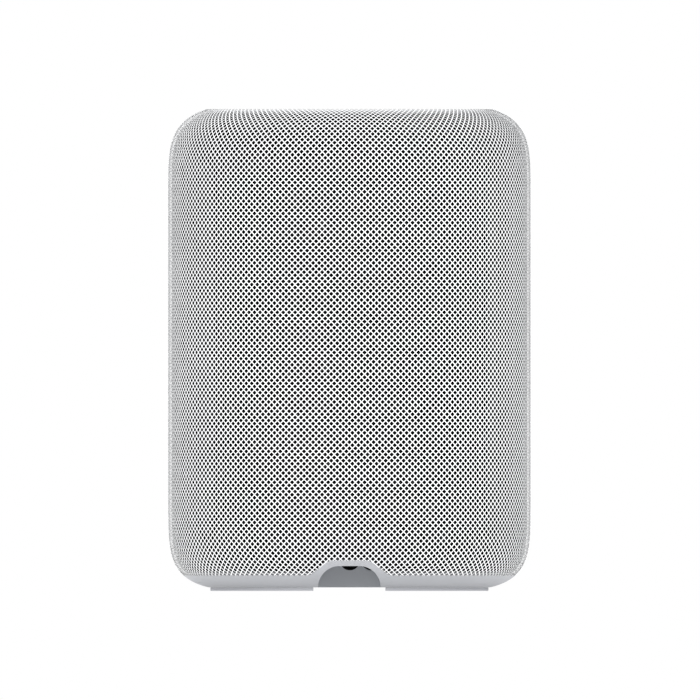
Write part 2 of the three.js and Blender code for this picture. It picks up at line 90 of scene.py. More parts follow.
# ---- Camera ----

VIEW_WIDTH = 281.9 * MM  # what the picture shows from side to side
VIEW_MIDDLE = (-0.25 * MM, 97.0 * MM)


def add_camera():
    data = bpy.data.cameras.new("camera")
    data.type = "ORTHO"
    data.ortho_scale = VIEW_WIDTH
    data.clip_start, data.clip_end = 0.01, 10
    camera = bpy.data.objects.new("camera", data)
    camera.location = (VIEW_MIDDLE[0], 1.2, VIEW_MIDDLE[1])
    camera.rotation_euler = (math.radians(90), 0, math.radians(180))
    bpy.context.scene.collection.objects.link(camera)
    bpy.context.scene.camera = camera


add_camera()

# ---- Outline of the column ----


def half_width_at(z):
    """Half-width of the outer surface at height z, for a number or an array."""
    z = np.asarray(z, float)
    half = np.full(z.shape, HALF_WIDTH)
    for (start, height, reach, power), sign in ((SHOULDER, 1), (HEEL, -1)):
        climb = np.clip(sign * (z - start) / height, 0, 1)
        half -= reach * (1 - (1 - climb**power) ** (1 / power))
    return half


SIDE_Z = np.linspace(BASE_BOTTOM, HEIGHT, 40001)
SIDE_R = half_width_at(SIDE_Z)
SIDE_S = np.concatenate([[0], np.cumsum(np.hypot(np.diff(SIDE_Z), np.diff(SIDE_R)))])

PLAN_TURN = np.linspace(0, 2 * math.pi, 40001)
PLAN_X = np.sign(np.sin(PLAN_TURN)) * abs(np.sin(PLAN_TURN)) ** (2 / SQUARENESS)
PLAN_Y = np.sign(np.cos(PLAN_TURN)) * abs(np.cos(PLAN_TURN)) ** (2 / SQUARENESS)
PLAN_S = np.concatenate([[0], np.cumsum(np.hypot(np.diff(PLAN_X), np.diff(PLAN_Y)))])


def plan_point(u):
    """Unit outline at the fraction u of its length, from the middle of the back (+Y)."""
    along = (np.asarray(u, float) % 1.0) * PLAN_S[-1]
    return np.interp(along, PLAN_S, PLAN_X), np.interp(along, PLAN_S, PLAN_Y)


def on_surface(u, s):
    x, y = plan_point(u)
    r = np.interp(s, SIDE_S, SIDE_R)
    return np.stack([x * r, y * r, np.interp(s, SIDE_S, SIDE_Z)], -1)


def below_surface(u, s, depth):
    """Points at a depth below the outer surface, square to it."""
    du = on_surface(u + 4e-5, s) - on_surface(u - 4e-5, s)
    ds = on_surface(u, s + 3e-5) - on_surface(u, s - 3e-5)
    normal = np.cross(ds, du)
    normal /= np.linalg.norm(normal, axis=-1, keepdims=True)
    inward = (normal[..., :2] * on_surface(u, s)[..., :2]).sum(-1) > 0
    normal[inward] *= -1
    return on_surface(u, s) + normal * np.asarray(depth)[..., None]


def side_points(low, high, depth, count):
    """Side outline from one height to another as (half-width, z), moved inwards."""
    s = np.interp(np.linspace(low, high, 400), SIDE_Z, SIDE_S)
    s = np.linspace(s[0], s[-1], count)
    z, r = np.interp(s, SIDE_S, SIDE_Z), np.interp(s, SIDE_S, SIDE_R)
    step = 0.05 * MM
    slope = (half_width_at(z + step) - half_width_at(z - step)) / (2 * step)
    length = np.hypot(1, slope)
    return [tuple(p) for p in zip(r - depth / length, z + depth * slope / length)]


def collar_z(x):
    """Height of the base's edge at x on the back: level, and raised over the arch."""
    along = np.clip((abs(np.asarray(x, float)) - COLLAR_FLAT) / (COLLAR_END - COLLAR_FLAT), 0, 1)
    return SEAM_Z + (COLLAR_TOP - SEAM_Z) * (1 + np.cos(math.pi * along)) / 2


# ---- Mesh helpers ----


def make_object(name, verts, faces, material=None, sharp=None):
    """A mesh object, smooth, with edges over the sharp angle (in degrees) kept crisp."""
    mesh = bpy.data.meshes.new(name)
    mesh.from_pydata([tuple(v) for v in verts], [], [tuple(f) for f in faces])
    tidy = bmesh.new()
    tidy.from_mesh(mesh)
    bmesh.ops.remove_doubles(tidy, verts=tidy.verts, dist=1e-6)
    bmesh.ops.dissolve_degenerate(tidy, edges=tidy.edges, dist=1e-6)
    bmesh.ops.recalc_face_normals(tidy, faces=tidy.faces)
    tidy.to_mesh(mesh)
    tidy.free()
    mesh.shade_smooth()
    if sharp is not None:
        mesh.set_sharp_from_angle(angle=math.radians(sharp))
    if material is not None:
        mesh.materials.append(material)
    piece = bpy.data.objects.new(name, mesh)
    bpy.context.scene.collection.objects.link(piece)
    return piece


def ring_faces(rows, sides, closed):
    faces = []
    last = rows if closed else rows - 1
    for j in range(last):
        k = (j + 1) % rows
        for i in range(sides):
            n = (i + 1) % sides
            faces.append((j * sides + i, j * sides + n, k * sides + n, k * sides + i))
    return faces


def column(name, profile, sides=192, closed=True, sharp=40):
    """Upright solid with the rounded-square plan, from (half-width, z) points."""
    x, y = plan_point(np.arange(sides) / sides)
    verts = [(x[i] * r, y[i] * r, z) for r, z in profile for i in range(sides)]
    return make_object(name, verts, ring_faces(len(profile), sides, closed), sharp=sharp)


def turned(name, profile, sides=96, closed=True, sharp=40):
    """Solid of revolution about Y, from (radius, y) points."""
    turns = [2 * math.pi * i / sides for i in range(sides)]
    verts = [(r * math.cos(t), y, r * math.sin(t)) for r, y in profile for t in turns]
    return make_object(name, verts, ring_faces(len(profile), sides, closed), sharp=sharp)


def bend(start, middle_point, end, steps):
    """Points on a curve from start to end that is pulled towards a point between."""
    a, b, c = Vector(start), Vector(middle_point), Vector(end)
    parts = [k / steps for k in range(steps + 1)]
    return [tuple(a * (1 - t) ** 2 + b * 2 * t * (1 - t) + c * t**2) for t in parts]


def rounded(points, radius, steps=3, closed=True):
    """A profile with its corners turned into short arcs."""
    made = []
    count = len(points)
    for i, here in enumerate(points):
        here = Vector(here)
        if not closed and i in (0, count - 1):
            made.append(tuple(here))
            continue
        before, after = Vector(points[i - 1]) - here, Vector(points[(i + 1) % count]) - here
        turn = before.angle(after, math.pi)
        if turn > math.radians(165) or turn < math.radians(5):
            made.append(tuple(here))
            continue
        reach = min(radius / math.tan(turn / 2), before.length * 0.45, after.length * 0.45)
        start, end = here + before.normalized() * reach, here + after.normalized() * reach
        made += bend(start, here, end, steps)
    return made


def prism(name, outline, low, high, axis="Y"):
    """Closed extrusion of an outline along Y (outline in X, Z) or along Z (outline in X, Y)."""
    n = len(outline)
    if axis == "Y":
        verts = [(a, d, b) for d in (low, high) for a, b in outline]
    else:
        verts = [(a, b, d) for d in (low, high) for a, b in outline]
    faces = [tuple(range(n)), tuple(range(2 * n - 1, n - 1, -1))]
    faces += [(i, (i + 1) % n, n + (i + 1) % n, n + i) for i in range(n)]
    return make_object(name, verts, faces)


def rectangle(x0, x1, y0, y1, radius=0.0, steps=4):
    corners = [(x0, y0), (x1, y0), (x1, y1), (x0, y1)]
    return rounded(corners, radius, steps) if radius else corners


def circle(x, y, radius, sides=48):
    turns = [2 * math.pi * i / sides for i in range(sides)]
    return [(x + radius * math.cos(t), y + radius * math.sin(t)) for t in turns]


def combine(piece, tools, operation, sharp=40):
    """Applies boolean modifiers, drops the tools, and cleans the mesh up."""
    for tool in tools:
        modifier = piece.modifiers.new("cut", "BOOLEAN")
        modifier.operation, modifier.object, modifier.solver = operation, tool, "EXACT"
    bpy.context.view_layer.update()
    depsgraph = bpy.context.evaluated_depsgraph_get()
    mesh = bpy.data.meshes.new_from_object(piece.evaluated_get(depsgraph))
    piece.modifiers.clear()
    old = piece.data
    piece.data = mesh
    mesh.name = old.name
    bpy.data.meshes.remove(old)
    for tool in tools:
        bpy.data.objects.remove(tool)
    mesh.shade_smooth()
    mesh.set_sharp_from_angle(angle=math.radians(sharp))
    return piece


def cut(piece, *tools, sharp=40):
    return combine(piece, tools, "DIFFERENCE", sharp)


# ---- Materials ----


class Nodes:
    """Small helper that adds and links shader nodes."""

    def __init__(self, name, roughness=0.5, metallic=0.0, specular=0.5):
        self.material = bpy.data.materials.new(name)
        self.material.use_nodes = True
        self.tree = self.material.node_tree
        self.shader = self.tree.nodes["Principled BSDF"]
        self.shader.inputs["Roughness"].default_value = roughness
        self.shader.inputs["Metallic"].default_value = metallic
        self.shader.inputs["Specular IOR Level"].default_value = specular

    def add(self, kind, **values):
        node = self.tree.nodes.new("ShaderNode" + kind)
        for key, value in values.items():
            if key in node.inputs:
                node.inputs[key].default_value = value
            else:
                setattr(node, key, value)
        return node

    def link(self, source, target):
        self.tree.links.new(source, target)

    def place(self):
        return self.add("TexCoord").outputs["Object"]

    def noise(self, scale, detail=3.0, rough=0.5, vector=None):
        node = self.add("TexNoise", Scale=scale, Detail=detail, Roughness=rough)
        self.link(vector or self.place(), node.inputs["Vector"])
        return node.outputs["Fac"]

    def ramp(self, fac, low, high, start=0.35, end=0.65):
        node = self.add("ValToRGB")
        node.color_ramp.elements[0].position = start
        node.color_ramp.elements[1].position = end
        node.color_ramp.elements[0].color = (*low, 1)
        node.color_ramp.elements[1].color = (*high, 1)
        self.link(fac, node.inputs["Fac"])
        return node.outputs["Color"]

    def spread(self, fac, low, high):
        node = self.add("MapRange")
        node.inputs["To Min"].default_value = low
        node.inputs["To Max"].default_value = high
        self.link(fac, node.inputs["Value"])
        return node.outputs["Result"]

    def bands(self, axis, pitch):
        """Waves along an axis, one for each pitch."""
        node = self.add("TexWave", Scale=2 * math.pi / (20 * pitch))
        node.bands_direction = axis
        self.link(self.place(), node.inputs["Vector"])
        return node.outputs["Fac"]

    def bump(self, height, strength, distance):
        node = self.add("Bump", Strength=strength, Distance=distance)
        self.link(height, node.inputs["Height"])
        self.link(node.outputs["Normal"], self.shader.inputs["Normal"])


def plastic(name, low, high, roughness=(0.38, 0.5), grain=2600, grain_depth=0.02, specular=0.5):
    """Moulded plastic: faint tone drift, fine spark-eroded grain, uneven gloss."""
    n = Nodes(name, specular=specular)
    n.link(n.ramp(n.noise(14, 4), low, high), n.shader.inputs["Base Color"])
    n.link(n.spread(n.noise(420, 3), *roughness), n.shader.inputs["Roughness"])
    n.bump(n.noise(grain, 2), 0.35, grain_depth * MM)
    return n.material


def sleeve_paint():
    """White coating of the mesh: a little orange peel, and dustier tone in places."""
    n = Nodes("sleeve_paint", specular=0.35)
    n.link(n.ramp(n.noise(30, 5), (0.83, 0.83, 0.835), (0.88, 0.88, 0.885)), n.shader.inputs["Base Color"])
    n.link(n.spread(n.noise(900, 3), 0.42, 0.6), n.shader.inputs["Roughness"])
    n.bump(n.noise(5200, 3), 0.4, 0.02 * MM)
    return n.material


def opening_painted_shade():
    """Shaded walls of the openings, where the coating is thin over the dark metal."""
    # Walls of the openings in painted shade: a near-black tone that stands for the shade inside them, not for
    # a real colour.
    n = Nodes("opening_painted_shade", specular=0.1, roughness=0.8)
    painted_shade_tone = n.ramp(n.noise(200, 3), (0.006, 0.006, 0.006), (0.014, 0.014, 0.014))
    n.link(painted_shade_tone, n.shader.inputs["Base Color"])
    return n.material


def metal(name, low, high, roughness=(0.25, 0.4), stretch=(1, 1, 1), streak=900):
    """Metal with fine streaks, drawn out along the axis with the smallest stretch."""
    n = Nodes(name, metallic=1.0)
    mapping = n.add("Mapping")
    mapping.inputs["Scale"].default_value = stretch
    n.link(n.place(), mapping.inputs["Vector"])
    streaks = n.noise(streak, 3, vector=mapping.outputs["Vector"])
    n.link(n.ramp(n.noise(60, 3), low, high), n.shader.inputs["Base Color"])
    n.link(n.spread(streaks, *roughness), n.shader.inputs["Roughness"])
    n.bump(streaks, 0.2, 0.01 * MM)
    return n.material


def wound(name, low, high, axis, pitch, metallic):
    """Wire or tape laid in turns along an axis."""
    n = Nodes(name, roughness=0.35, metallic=metallic)
    turns = n.bands(axis, pitch)
    n.link(n.ramp(turns, low, high, 0.1, 0.9), n.shader.inputs["Base Color"])
    n.link(n.spread(n.noise(700, 3), 0.28, 0.45), n.shader.inputs["Roughness"])
    n.bump(turns, 0.5, 0.04 * MM)
    return n.material


def woven(name, low, high, pitch):
    """Coarse cloth: two sets of threads across each other."""
    n = Nodes(name, specular=0.3)
    both = n.add("Math", operation="MULTIPLY")
    n.link(n.bands("X", pitch), both.inputs[0])
    n.link(n.bands("Z", pitch), both.inputs[1])
    n.link(n.ramp(both.outputs["Value"], low, high, 0.1, 0.8), n.shader.inputs["Base Color"])
    n.link(n.spread(n.noise(500, 3), 0.75, 0.92), n.shader.inputs["Roughness"])
    n.bump(both.outputs["Value"], 0.6, 0.08 * MM)
    return n.material


def fibrous(name, low, high):
    """Pressed paper pulp with short fibres."""
    n = Nodes(name, specular=0.25)
    fibres = n.noise(2200, 6, 0.7)
    n.link(n.ramp(n.noise(260, 5, 0.65), low, high), n.shader.inputs["Base Color"])
    n.link(n.spread(fibres, 0.75, 0.95), n.shader.inputs["Roughness"])
    n.bump(fibres, 0.5, 0.06 * MM)
    return n.material


def printed(name, low, high):
    """Printed circuit: traces under a coloured film."""
    n = Nodes(name)
    cells = n.add("TexBrick", Scale=260.0)
    cells.inputs["Mortar Size"].default_value = 0.06
    mapping = n.add("Mapping")
    mapping.inputs["Rotation"].default_value = (math.radians(90), 0, 0)
    n.link(n.place(), mapping.inputs["Vector"])
    n.link(mapping.outputs["Vector"], cells.inputs["Vector"])
    n.link(n.ramp(cells.outputs["Fac"], low, high, 0.2, 0.8), n.shader.inputs["Base Color"])
    n.link(n.spread(n.noise(300, 3), 0.3, 0.45), n.shader.inputs["Roughness"])
    n.bump(cells.outputs["Fac"], 0.3, 0.03 * MM)
    return n.material


# ---- Light and floor ----


def add_world():
    world = bpy.data.worlds.new("studio")
    bpy.context.scene.world = world
    world.use_nodes = True
    tree = world.node_tree
    tree.nodes.clear()
    seen = tree.nodes.new("ShaderNodeBackground")
    seen.inputs["Color"].default_value = (1, 1, 1, 1)
    lit = tree.nodes.new("ShaderNodeBackground")
    lit.inputs["Color"].default_value = (0.97, 0.985, 1, 1)
    lit.inputs["Strength"].default_value = 0.92
    path = tree.nodes.new("ShaderNodeLightPath")
    mix = tree.nodes.new("ShaderNodeMixShader")
    out = tree.nodes.new("ShaderNodeOutputWorld")
    tree.links.new(path.outputs["Is Camera Ray"], mix.inputs["Fac"])
    tree.links.new(lit.outputs[0], mix.inputs[1])
    tree.links.new(seen.outputs[0], mix.inputs[2])
    tree.links.new(mix.outputs[0], out.inputs["Surface"])


def add_area(name, place, aim, size, power):
    data = bpy.data.lights.new(name, "AREA")
    data.shape = "RECTANGLE"
    data.size, data.size_y = size
    data.energy = power
    lamp = bpy.data.objects.new(name, data)
    lamp.location = place
    lamp.rotation_euler = (Vector(aim) - Vector(place)).to_track_quat("-Z", "Y").to_euler()
    bpy.context.scene.collection.objects.link(lamp)


def add_floor():
    n = Nodes("floor_white", roughness=0.7, specular=0.2)
    n.shader.inputs["Emission Color"].default_value = (1, 1, 1, 1)
    n.shader.inputs["Emission Strength"].default_value = 0.5
    n.link(n.ramp(n.noise(3, 2), (0.86, 0.86, 0.86), (0.88, 0.88, 0.88)), n.shader.inputs["Base Color"])
    half = 1.6
    corners = [(-half, -half, 0), (half, -half, 0), (half, half, 0), (-half, half, 0)]
    floor = make_object("floor", corners, [(0, 1, 2, 3)], n.material)


add_world()
MIDDLE = (0, 0, HEIGHT / 2)
add_area("soft_key_back", (-0.35, 1.3, 0.75), MIDDLE, (1.3, 1.1), 8)
add_area("soft_fill_back", (0.7, 1.2, 0.25), MIDDLE, (0.9, 1.0), 3.5)
add_area("soft_key_front", (0.5, -1.3, 0.8), MIDDLE, (1.3, 1.1), 8)
add_area("soft_top", (0, 0, 1.3), MIDDLE, (1.0, 1.0), 4.5)
add_floor()
bpy.context.scene.view_settings.view_transform = "Standard"

# ---- Mesh sleeve ----

OPENING_CORNER = 0.93 * MM  # from an opening's middle to its corners
OPENING_SIDE = 0.69 * MM  # and to the middle of its sides
STRAND_DROP = 0.02 * MM  # how far a strand rounds off towards an opening
STRAND_DEPTH = 0.12 * MM


def sleeve_lattice():
    """Vertices, quads and each quad's column for the whole mesh.

    On a grid of half steps, openings stand where column + row is even, strands cross where it is odd.
    """
    columns = 2 * MESH_COLUMNS
    pitch = 1 / columns
    at = lambda z: float(np.interp(z, SIDE_Z, SIDE_S))
    origin = at(MESH_ROW_AT)
    first = math.floor((at(SEAM_Z) - origin) / MESH_ROW) - 1
    last = math.ceil((at(RIM_Z) - origin) / MESH_ROW) + 1
    rows = np.arange(first, last + 1)
    a, b = np.meshgrid(np.arange(columns), rows)
    even = (a + b) % 2 == 0
    hole_a, hole_b = a[even], b[even]
    holes = len(hole_a)
    full = PLAN_S[-1] * HALF_WIDTH  # length round the widest section

    grid = lambda i, j: (j - first + 1) * columns + i % columns
    gi, gj = np.meshgrid(np.arange(columns), np.arange(first - 1, last + 2))
    cross_u, cross_s = gi.ravel() * pitch, origin + gj.ravel() * MESH_ROW
    mid_u, mid_s = (gi.ravel() + 0.5) * pitch, origin + (gj.ravel() + 0.5) * MESH_ROW
    turns = np.arange(8) * math.pi / 4
    reach = np.where(np.arange(8) % 2 == 0, OPENING_CORNER, OPENING_SIDE)
    ring_u = hole_a[:, None] * pitch + reach * np.cos(turns) / full
    ring_s = origin + hole_b[:, None] * MESH_ROW + reach * np.sin(turns)

    u = np.concatenate([cross_u, mid_u, ring_u.ravel(), ring_u.ravel()])
    s = np.concatenate([cross_s, mid_s, ring_s.ravel(), ring_s.ravel()])
    depth = np.concatenate([
        np.zeros(len(cross_u)),
        np.full(len(mid_u), 0.01 * MM),
        np.full(ring_u.size, STRAND_DROP),
        np.full(ring_u.size, STRAND_DEPTH),
    ])
    behind = plan_point(u)[1] > 0
    level = np.where(behind, collar_z(on_surface(u, s)[:, 0]), SEAM_Z)
    low = np.interp(level, SIDE_Z, SIDE_S)
    s = np.clip(s, low, at(RIM_Z))
    verts = below_surface(u, s, depth)

    mid = len(cross_u)
    front = 2 * mid + np.arange(holes)[:, None] * 8 + np.arange(8)
    back = front + holes * 8
    outer = np.stack([
        grid(hole_a + 1, hole_b), mid + grid(hole_a, hole_b),
        grid(hole_a, hole_b + 1), mid + grid(hole_a - 1, hole_b),
        grid(hole_a - 1, hole_b), mid + grid(hole_a - 1, hole_b - 1),
        grid(hole_a, hole_b - 1), mid + grid(hole_a, hole_b - 1),
    ], 1)
    nxt = (np.arange(8) + 1) % 8
    faces = np.stack([outer, outer[:, nxt], front[:, nxt], front], -1).reshape(-1, 4)
    walls = np.stack([front, front[:, nxt], back[:, nxt], back], -1).reshape(-1, 4)
    quads = np.concatenate([faces, walls])
    column_of = np.tile(np.repeat(hole_a, 8), 2)
    return verts, quads, column_of / columns, len(faces)


def vertex_normals(verts, quads):
    p = verts[quads]
    face = np.cross(p[:, 2] - p[:, 0], p[:, 3] - p[:, 1])
    total = np.zeros_like(verts)
    for corner in range(4):
        np.add.at(total, quads[:, corner], face)
    length = np.linalg.norm(total, axis=1, keepdims=True)
    return total / np.maximum(length, 1e-20), np.linalg.norm(face, axis=1)


def quad_object(name, verts, quads, normals, materials, material_of):
    """A mesh built from arrays, which is much quicker than from lists."""
    used, index = np.unique(quads, return_inverse=True)
    index = index.reshape(quads.shape).astype(np.int32)
    mesh = bpy.data.meshes.new(name)
    mesh.vertices.add(len(used))
    mesh.vertices.foreach_set("co", verts[used].astype(np.float32).ravel())
    mesh.loops.add(index.size)
    mesh.loops.foreach_set("vertex_index", index.ravel())
    mesh.polygons.add(len(index))
    mesh.polygons.foreach_set("loop_start", np.arange(0, index.size, 4, dtype=np.int32))
    mesh.update(calc_edges=True)
    mesh.shade_smooth()
    mesh.normals_split_custom_set_from_vertices(normals[used].astype(np.float32))
    for material in materials:
        mesh.materials.append(material)
    mesh.polygons.foreach_set("material_index", material_of.astype(np.int32))
    piece = bpy.data.objects.new(name, mesh)
    bpy.context.scene.collection.objects.link(piece)
    return piece


def add_sleeve():
    verts, quads, turn, outside = sleeve_lattice()
    normals, area = vertex_normals(verts, quads)
    keep = area > 2e-11
    # Wall quads take the second material, which is painted shade for the inside of the openings.
    wall = (np.arange(len(quads)) >= outside).astype(int)
    coat_and_painted_shade = (sleeve_paint(), opening_painted_shade())
    for k in range(MESH_SECTORS):
        mine = keep & (turn >= k / MESH_SECTORS) & (turn < (k + 1) / MESH_SECTORS)
        sector = quad_object(f"mesh_sleeve_{k + 1}", verts, quads[mine], normals, coat_and_painted_shade, wall[mine])
        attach(sector, "cabinet")
        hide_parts("mesh_sleeve")


add_sleeve()

# ---- Shared materials ----

SHELL_GREY = plastic("shell_grey", (0.335, 0.34, 0.356), (0.355, 0.36, 0.377), grain=3200)
# Same plastic as the shell, painted lighter: painted light that makes up for the shade inside the cable
# pocket.
RECESS_LIGHTENED_GREY = plastic("recess_grey", (0.49, 0.505, 0.53), (0.52, 0.535, 0.56), (0.45, 0.6))
BUTTON_GREY = plastic("button_grey", (0.4, 0.41, 0.43), (0.43, 0.44, 0.46), (0.35, 0.5))
TOP_WHITE = plastic("top_white", (0.52, 0.525, 0.535), (0.55, 0.555, 0.565), (0.32, 0.42))
ICON_GREY = plastic("icon_grey", (0.3, 0.31, 0.33), (0.34, 0.35, 0.37), (0.4, 0.5))
FOOT_GREY = plastic("foot_grey", (0.47, 0.475, 0.5), (0.52, 0.525, 0.55), (0.7, 0.85), 1500, 0.04, 0.3)
SCRIM_TONES = (0.002, 0.002, 0.002), (0.004, 0.004, 0.004)
SCRIM_BLACK = plastic("scrim_black", *SCRIM_TONES, (0.85, 0.95), 1800, 0.05, 0.03)
MATT_BLACK = plastic("matt_black", (0.018, 0.018, 0.02), (0.026, 0.026, 0.028), (0.6, 0.75))
BOX_BLACK = plastic("box_black", (0.025, 0.025, 0.027), (0.036, 0.036, 0.038), (0.5, 0.65), 900, 0.06)
RUBBER = plastic("black_rubber", (0.02, 0.02, 0.021), (0.032, 0.032, 0.033), (0.62, 0.8), 1200, 0.03, 0.35)
POWDER = plastic("powder_coat", (0.03, 0.03, 0.032), (0.042, 0.042, 0.045), (0.5, 0.65), 1500, 0.05)
FERRITE = plastic("ferrite", (0.045, 0.045, 0.048), (0.07, 0.07, 0.074), (0.5, 0.7), 900, 0.06, 0.4)
CHIP_BLACK = plastic("chip_black", (0.02, 0.02, 0.022), (0.03, 0.03, 0.032), (0.4, 0.55), 2400, 0.02)
MILK = plastic("milky_light_pipe", (0.82, 0.84, 0.85), (0.88, 0.89, 0.9), (0.18, 0.28), 600, 0.005)
SHRINK = plastic("shrink_sleeve", (0.02, 0.03, 0.07), (0.03, 0.04, 0.085), (0.25, 0.35), 700, 0.01)
STEEL = metal("zinc_steel", (0.5, 0.51, 0.53), (0.62, 0.62, 0.64))
NICKEL = metal("nickel", (0.62, 0.61, 0.58), (0.72, 0.71, 0.68), (0.12, 0.22))
ALUMINIUM = metal("extruded_aluminium", (0.68, 0.69, 0.7), (0.78, 0.79, 0.8), (0.3, 0.45), (1, 1, 0.04), 1500)
COPPER = wound("enamelled_copper", (0.55, 0.24, 0.1), (0.72, 0.36, 0.17), "Y", 0.25 * MM, 0.9)
TAPE = wound("winding_tape", (0.62, 0.42, 0.07), (0.72, 0.5, 0.1), "Z", 1.3 * MM, 0.0)
FOIL = metal("copper_foil", (0.66, 0.33, 0.17), (0.78, 0.42, 0.24), (0.25, 0.4))
PAPER = fibrous("cone_paper", (0.03, 0.03, 0.033), (0.06, 0.06, 0.063))
SPIDER_CLOTH = woven("spider_cloth", (0.42, 0.24, 0.08), (0.6, 0.38, 0.16), 0.6 * MM)
BOARD_GREEN = printed("solder_mask", (0.008, 0.075, 0.03), (0.02, 0.15, 0.065))
FILM = printed("sensor_film", (0.45, 0.22, 0.04), (0.66, 0.36, 0.1))


# ---- Placing and finishing ----


def stand_for(piece, material, slot, *nodes, body="cabinet", edge=0.0):
    """The piece gets its material and edge rounding, rides on a body and stands for CAD nodes."""
    piece.data.materials.clear()
    piece.data.materials.append(material)
    if edge:
        soften(piece, edge)
    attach(piece, body)
    if nodes:
        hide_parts(*nodes)
    return piece


def soften(piece, width, segments=2, angle=50):
    bevel = piece.modifiers.new("soft_edges", "BEVEL")
    bevel.width, bevel.segments = width, segments
    bevel.limit_method, bevel.angle_limit = "ANGLE", math.radians(angle)
    bevel.use_clamp_overlap = True
    bevel.harden_normals = True


def moved(piece, x=0.0, y=0.0, z=0.0, turn=0.0, axis="Z"):
    """The mesh turned about an axis through the origin and then shifted."""
    piece.data.transform(Matrix.Translation((x, y, z)) @ Matrix.Rotation(turn, 4, axis))
    piece.data.update()
    return piece


def copied(piece, name):
    twin = piece.copy()
    twin.data = piece.data.copy()
    twin.name = twin.data.name = name
    bpy.context.scene.collection.objects.link(twin)
    return twin


def middle(node):
    low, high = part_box(node)
    return (low + high) / 2


def block(name, x, y, z, radius=0.0):
    """Box between pairs of limits, rounded in its X and Z outline."""
    return prism(name, rectangle(*x, *z, radius), *y)


def box_block(name, radius):
    """Box as large as the CAD node of that name."""
    return block(name, *zip(*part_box(name)), radius)


def rod(name, radius, y0, y1, x=0.0, z=0.0, edge=0.15 * MM, sides=48):
    """Round bar along Y with softened ends."""
    profile = rounded([(0, y0), (radius, y0), (radius, y1), (0, y1)], edge, closed=False)
    return moved(turned(name, profile, sides, closed=False), x, 0, z)


def slab(name, half_width, z0, z1, edge=0.2 * MM, sides=192):
    """Flat plate with the rounded-square plan."""
    profile = rounded([(0, z0), (half_width, z0), (half_width, z1), (0, z1)], edge, closed=False)
    return column(name, profile, sides, closed=False)


def arc(centre, radius, start, end, steps=12, flatten=1.0):
    """Points on an arc, with angles in degrees, flattened along its second axis."""
    turns = [math.radians(start + (end - start) * k / steps) for k in range(steps + 1)]
    x, y = centre
    return [(x + radius * math.cos(t), y + flatten * radius * math.sin(t)) for t in turns]


def scaled(points):
    """Profile given in millimetres."""
    return [(a * MM, b * MM) for a, b in points]


# ---- Liner ----


def collar_prism(clearance=0.0):
    """Everything on the back that is below the collar's edge."""
    reach = COLLAR_END + 4 * MM
    xs = np.linspace(-reach, reach, 97)
    outline = [(x, float(collar_z(x)) + clearance) for x in xs]
    outline += [(reach, -5 * MM), (-reach, -5 * MM)]
    return prism("collar", outline, 0, HALF_WIDTH + 5 * MM)


def add_liner():
    """Black scrim shell close behind the mesh; it stops short of the base's collar."""
    depth = HALF_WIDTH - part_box("acoustic_liner")[1].x
    low, high, thickness = SEAM_Z + 0.4 * MM, RIM_Z - 0.2 * MM, 0.8 * MM
    profile = side_points(low, high, depth, 60) + side_points(low, high, depth + thickness, 60)[::-1]
    liner = cut(column("acoustic_liner", profile, 160), collar_prism(0.7 * MM))
    stand_for(liner, SCRIM_BLACK, "liner_black", "acoustic_liner")


# ---- Base, feet and bottom cover ----

TONGUE_DEPTH = HALF_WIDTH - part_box("base_housing")[1].x
BASE_WALL = 2.5 * MM
LIP = 54 * MM
LIP_TOP, WALL_FROM = SEAM_Z - 0.85 * MM, SEAM_Z + 4.15 * MM
RECESS_HALF, RECESS_CEILING = 13.5 * MM, 21.5 * MM
RECESS_WALL = 1.8 * MM
RECESS_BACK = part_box("cable_recess")[0].y + RECESS_WALL
FOOT_WIDTH = 14 * MM
SCREWS = [middle(f"base_screw_{k}") for k in range(1, 5)]


def arch_prism():
    across, foot = ARCH_HALF - ARCH_RADIUS, ARCH_TOP - ARCH_RADIUS
    right = arc((across, foot), ARCH_RADIUS, 0, 90, 24)
    left = arc((-across, foot), ARCH_RADIUS, 90, 180, 24)
    outline = [(ARCH_HALF, -5 * MM), *right, *left, (-ARCH_HALF, -5 * MM)]
    return prism("arch", outline, RECESS_BACK + 6 * MM, HALF_WIDTH + 5 * MM)


def inside_wall(clearance=0.0):
    """Inside of the base's wall from the bottom up."""
    lip = LIP - clearance
    wall = side_points(WALL_FROM, BASE_TOP, TONGUE_DEPTH + BASE_WALL + clearance, 14)
    return [(lip, BASE_BOTTOM), (lip, LIP_TOP), *wall]


def add_base():
    over = COLLAR_TOP + 1.5 * MM
    outside = side_points(BASE_BOTTOM, over, 0, 36)
    edge = [(LIP, BASE_BOTTOM), *arc_to_side(outside)]
    profile = edge + outside[2:] + side_points(over, BASE_TOP, TONGUE_DEPTH, 10)
    base = column("base_housing", profile + inside_wall()[:0:-1], 256)
    ring = side_points(SEAM_Z, over + 2 * MM, -2 * MM, 16)
    ring += side_points(SEAM_Z, over + 2 * MM, TONGUE_DEPTH - 0.03 * MM, 16)[::-1]
    above = cut(column("above_seam", ring, 256), collar_prism())
    cut(base, above, arch_prism(), sharp=32)
    deck_top, deck = BASE_TOP, 2.5 * MM
    half = float(half_width_at(BASE_TOP)) - TONGUE_DEPTH - 0.6 * MM
    combine(base, [slab("deck", half, deck_top - deck, deck_top)], "UNION", sharp=32)
    bosses = [post("boss", 3.6 * MM, 5 * MM, deck_top - 1 * MM, x, y) for x, y, _ in SCREWS]
    combine(base, bosses, "UNION", sharp=32)
    holes = [post("hole", 1.8 * MM, 0, deck_top - 4 * MM, x, y) for x, y, _ in SCREWS]
    cut(base, *holes, sharp=32)
    stand_for(base, SHELL_GREY, "shell_grey", "base_housing")


def arc_to_side(outside):
    """Small rounded edge between the underside and the side."""
    r0, z0 = outside[0]
    return bend((r0 - 0.5 * MM, z0), (r0, z0), outside[2], 4)[:-1]


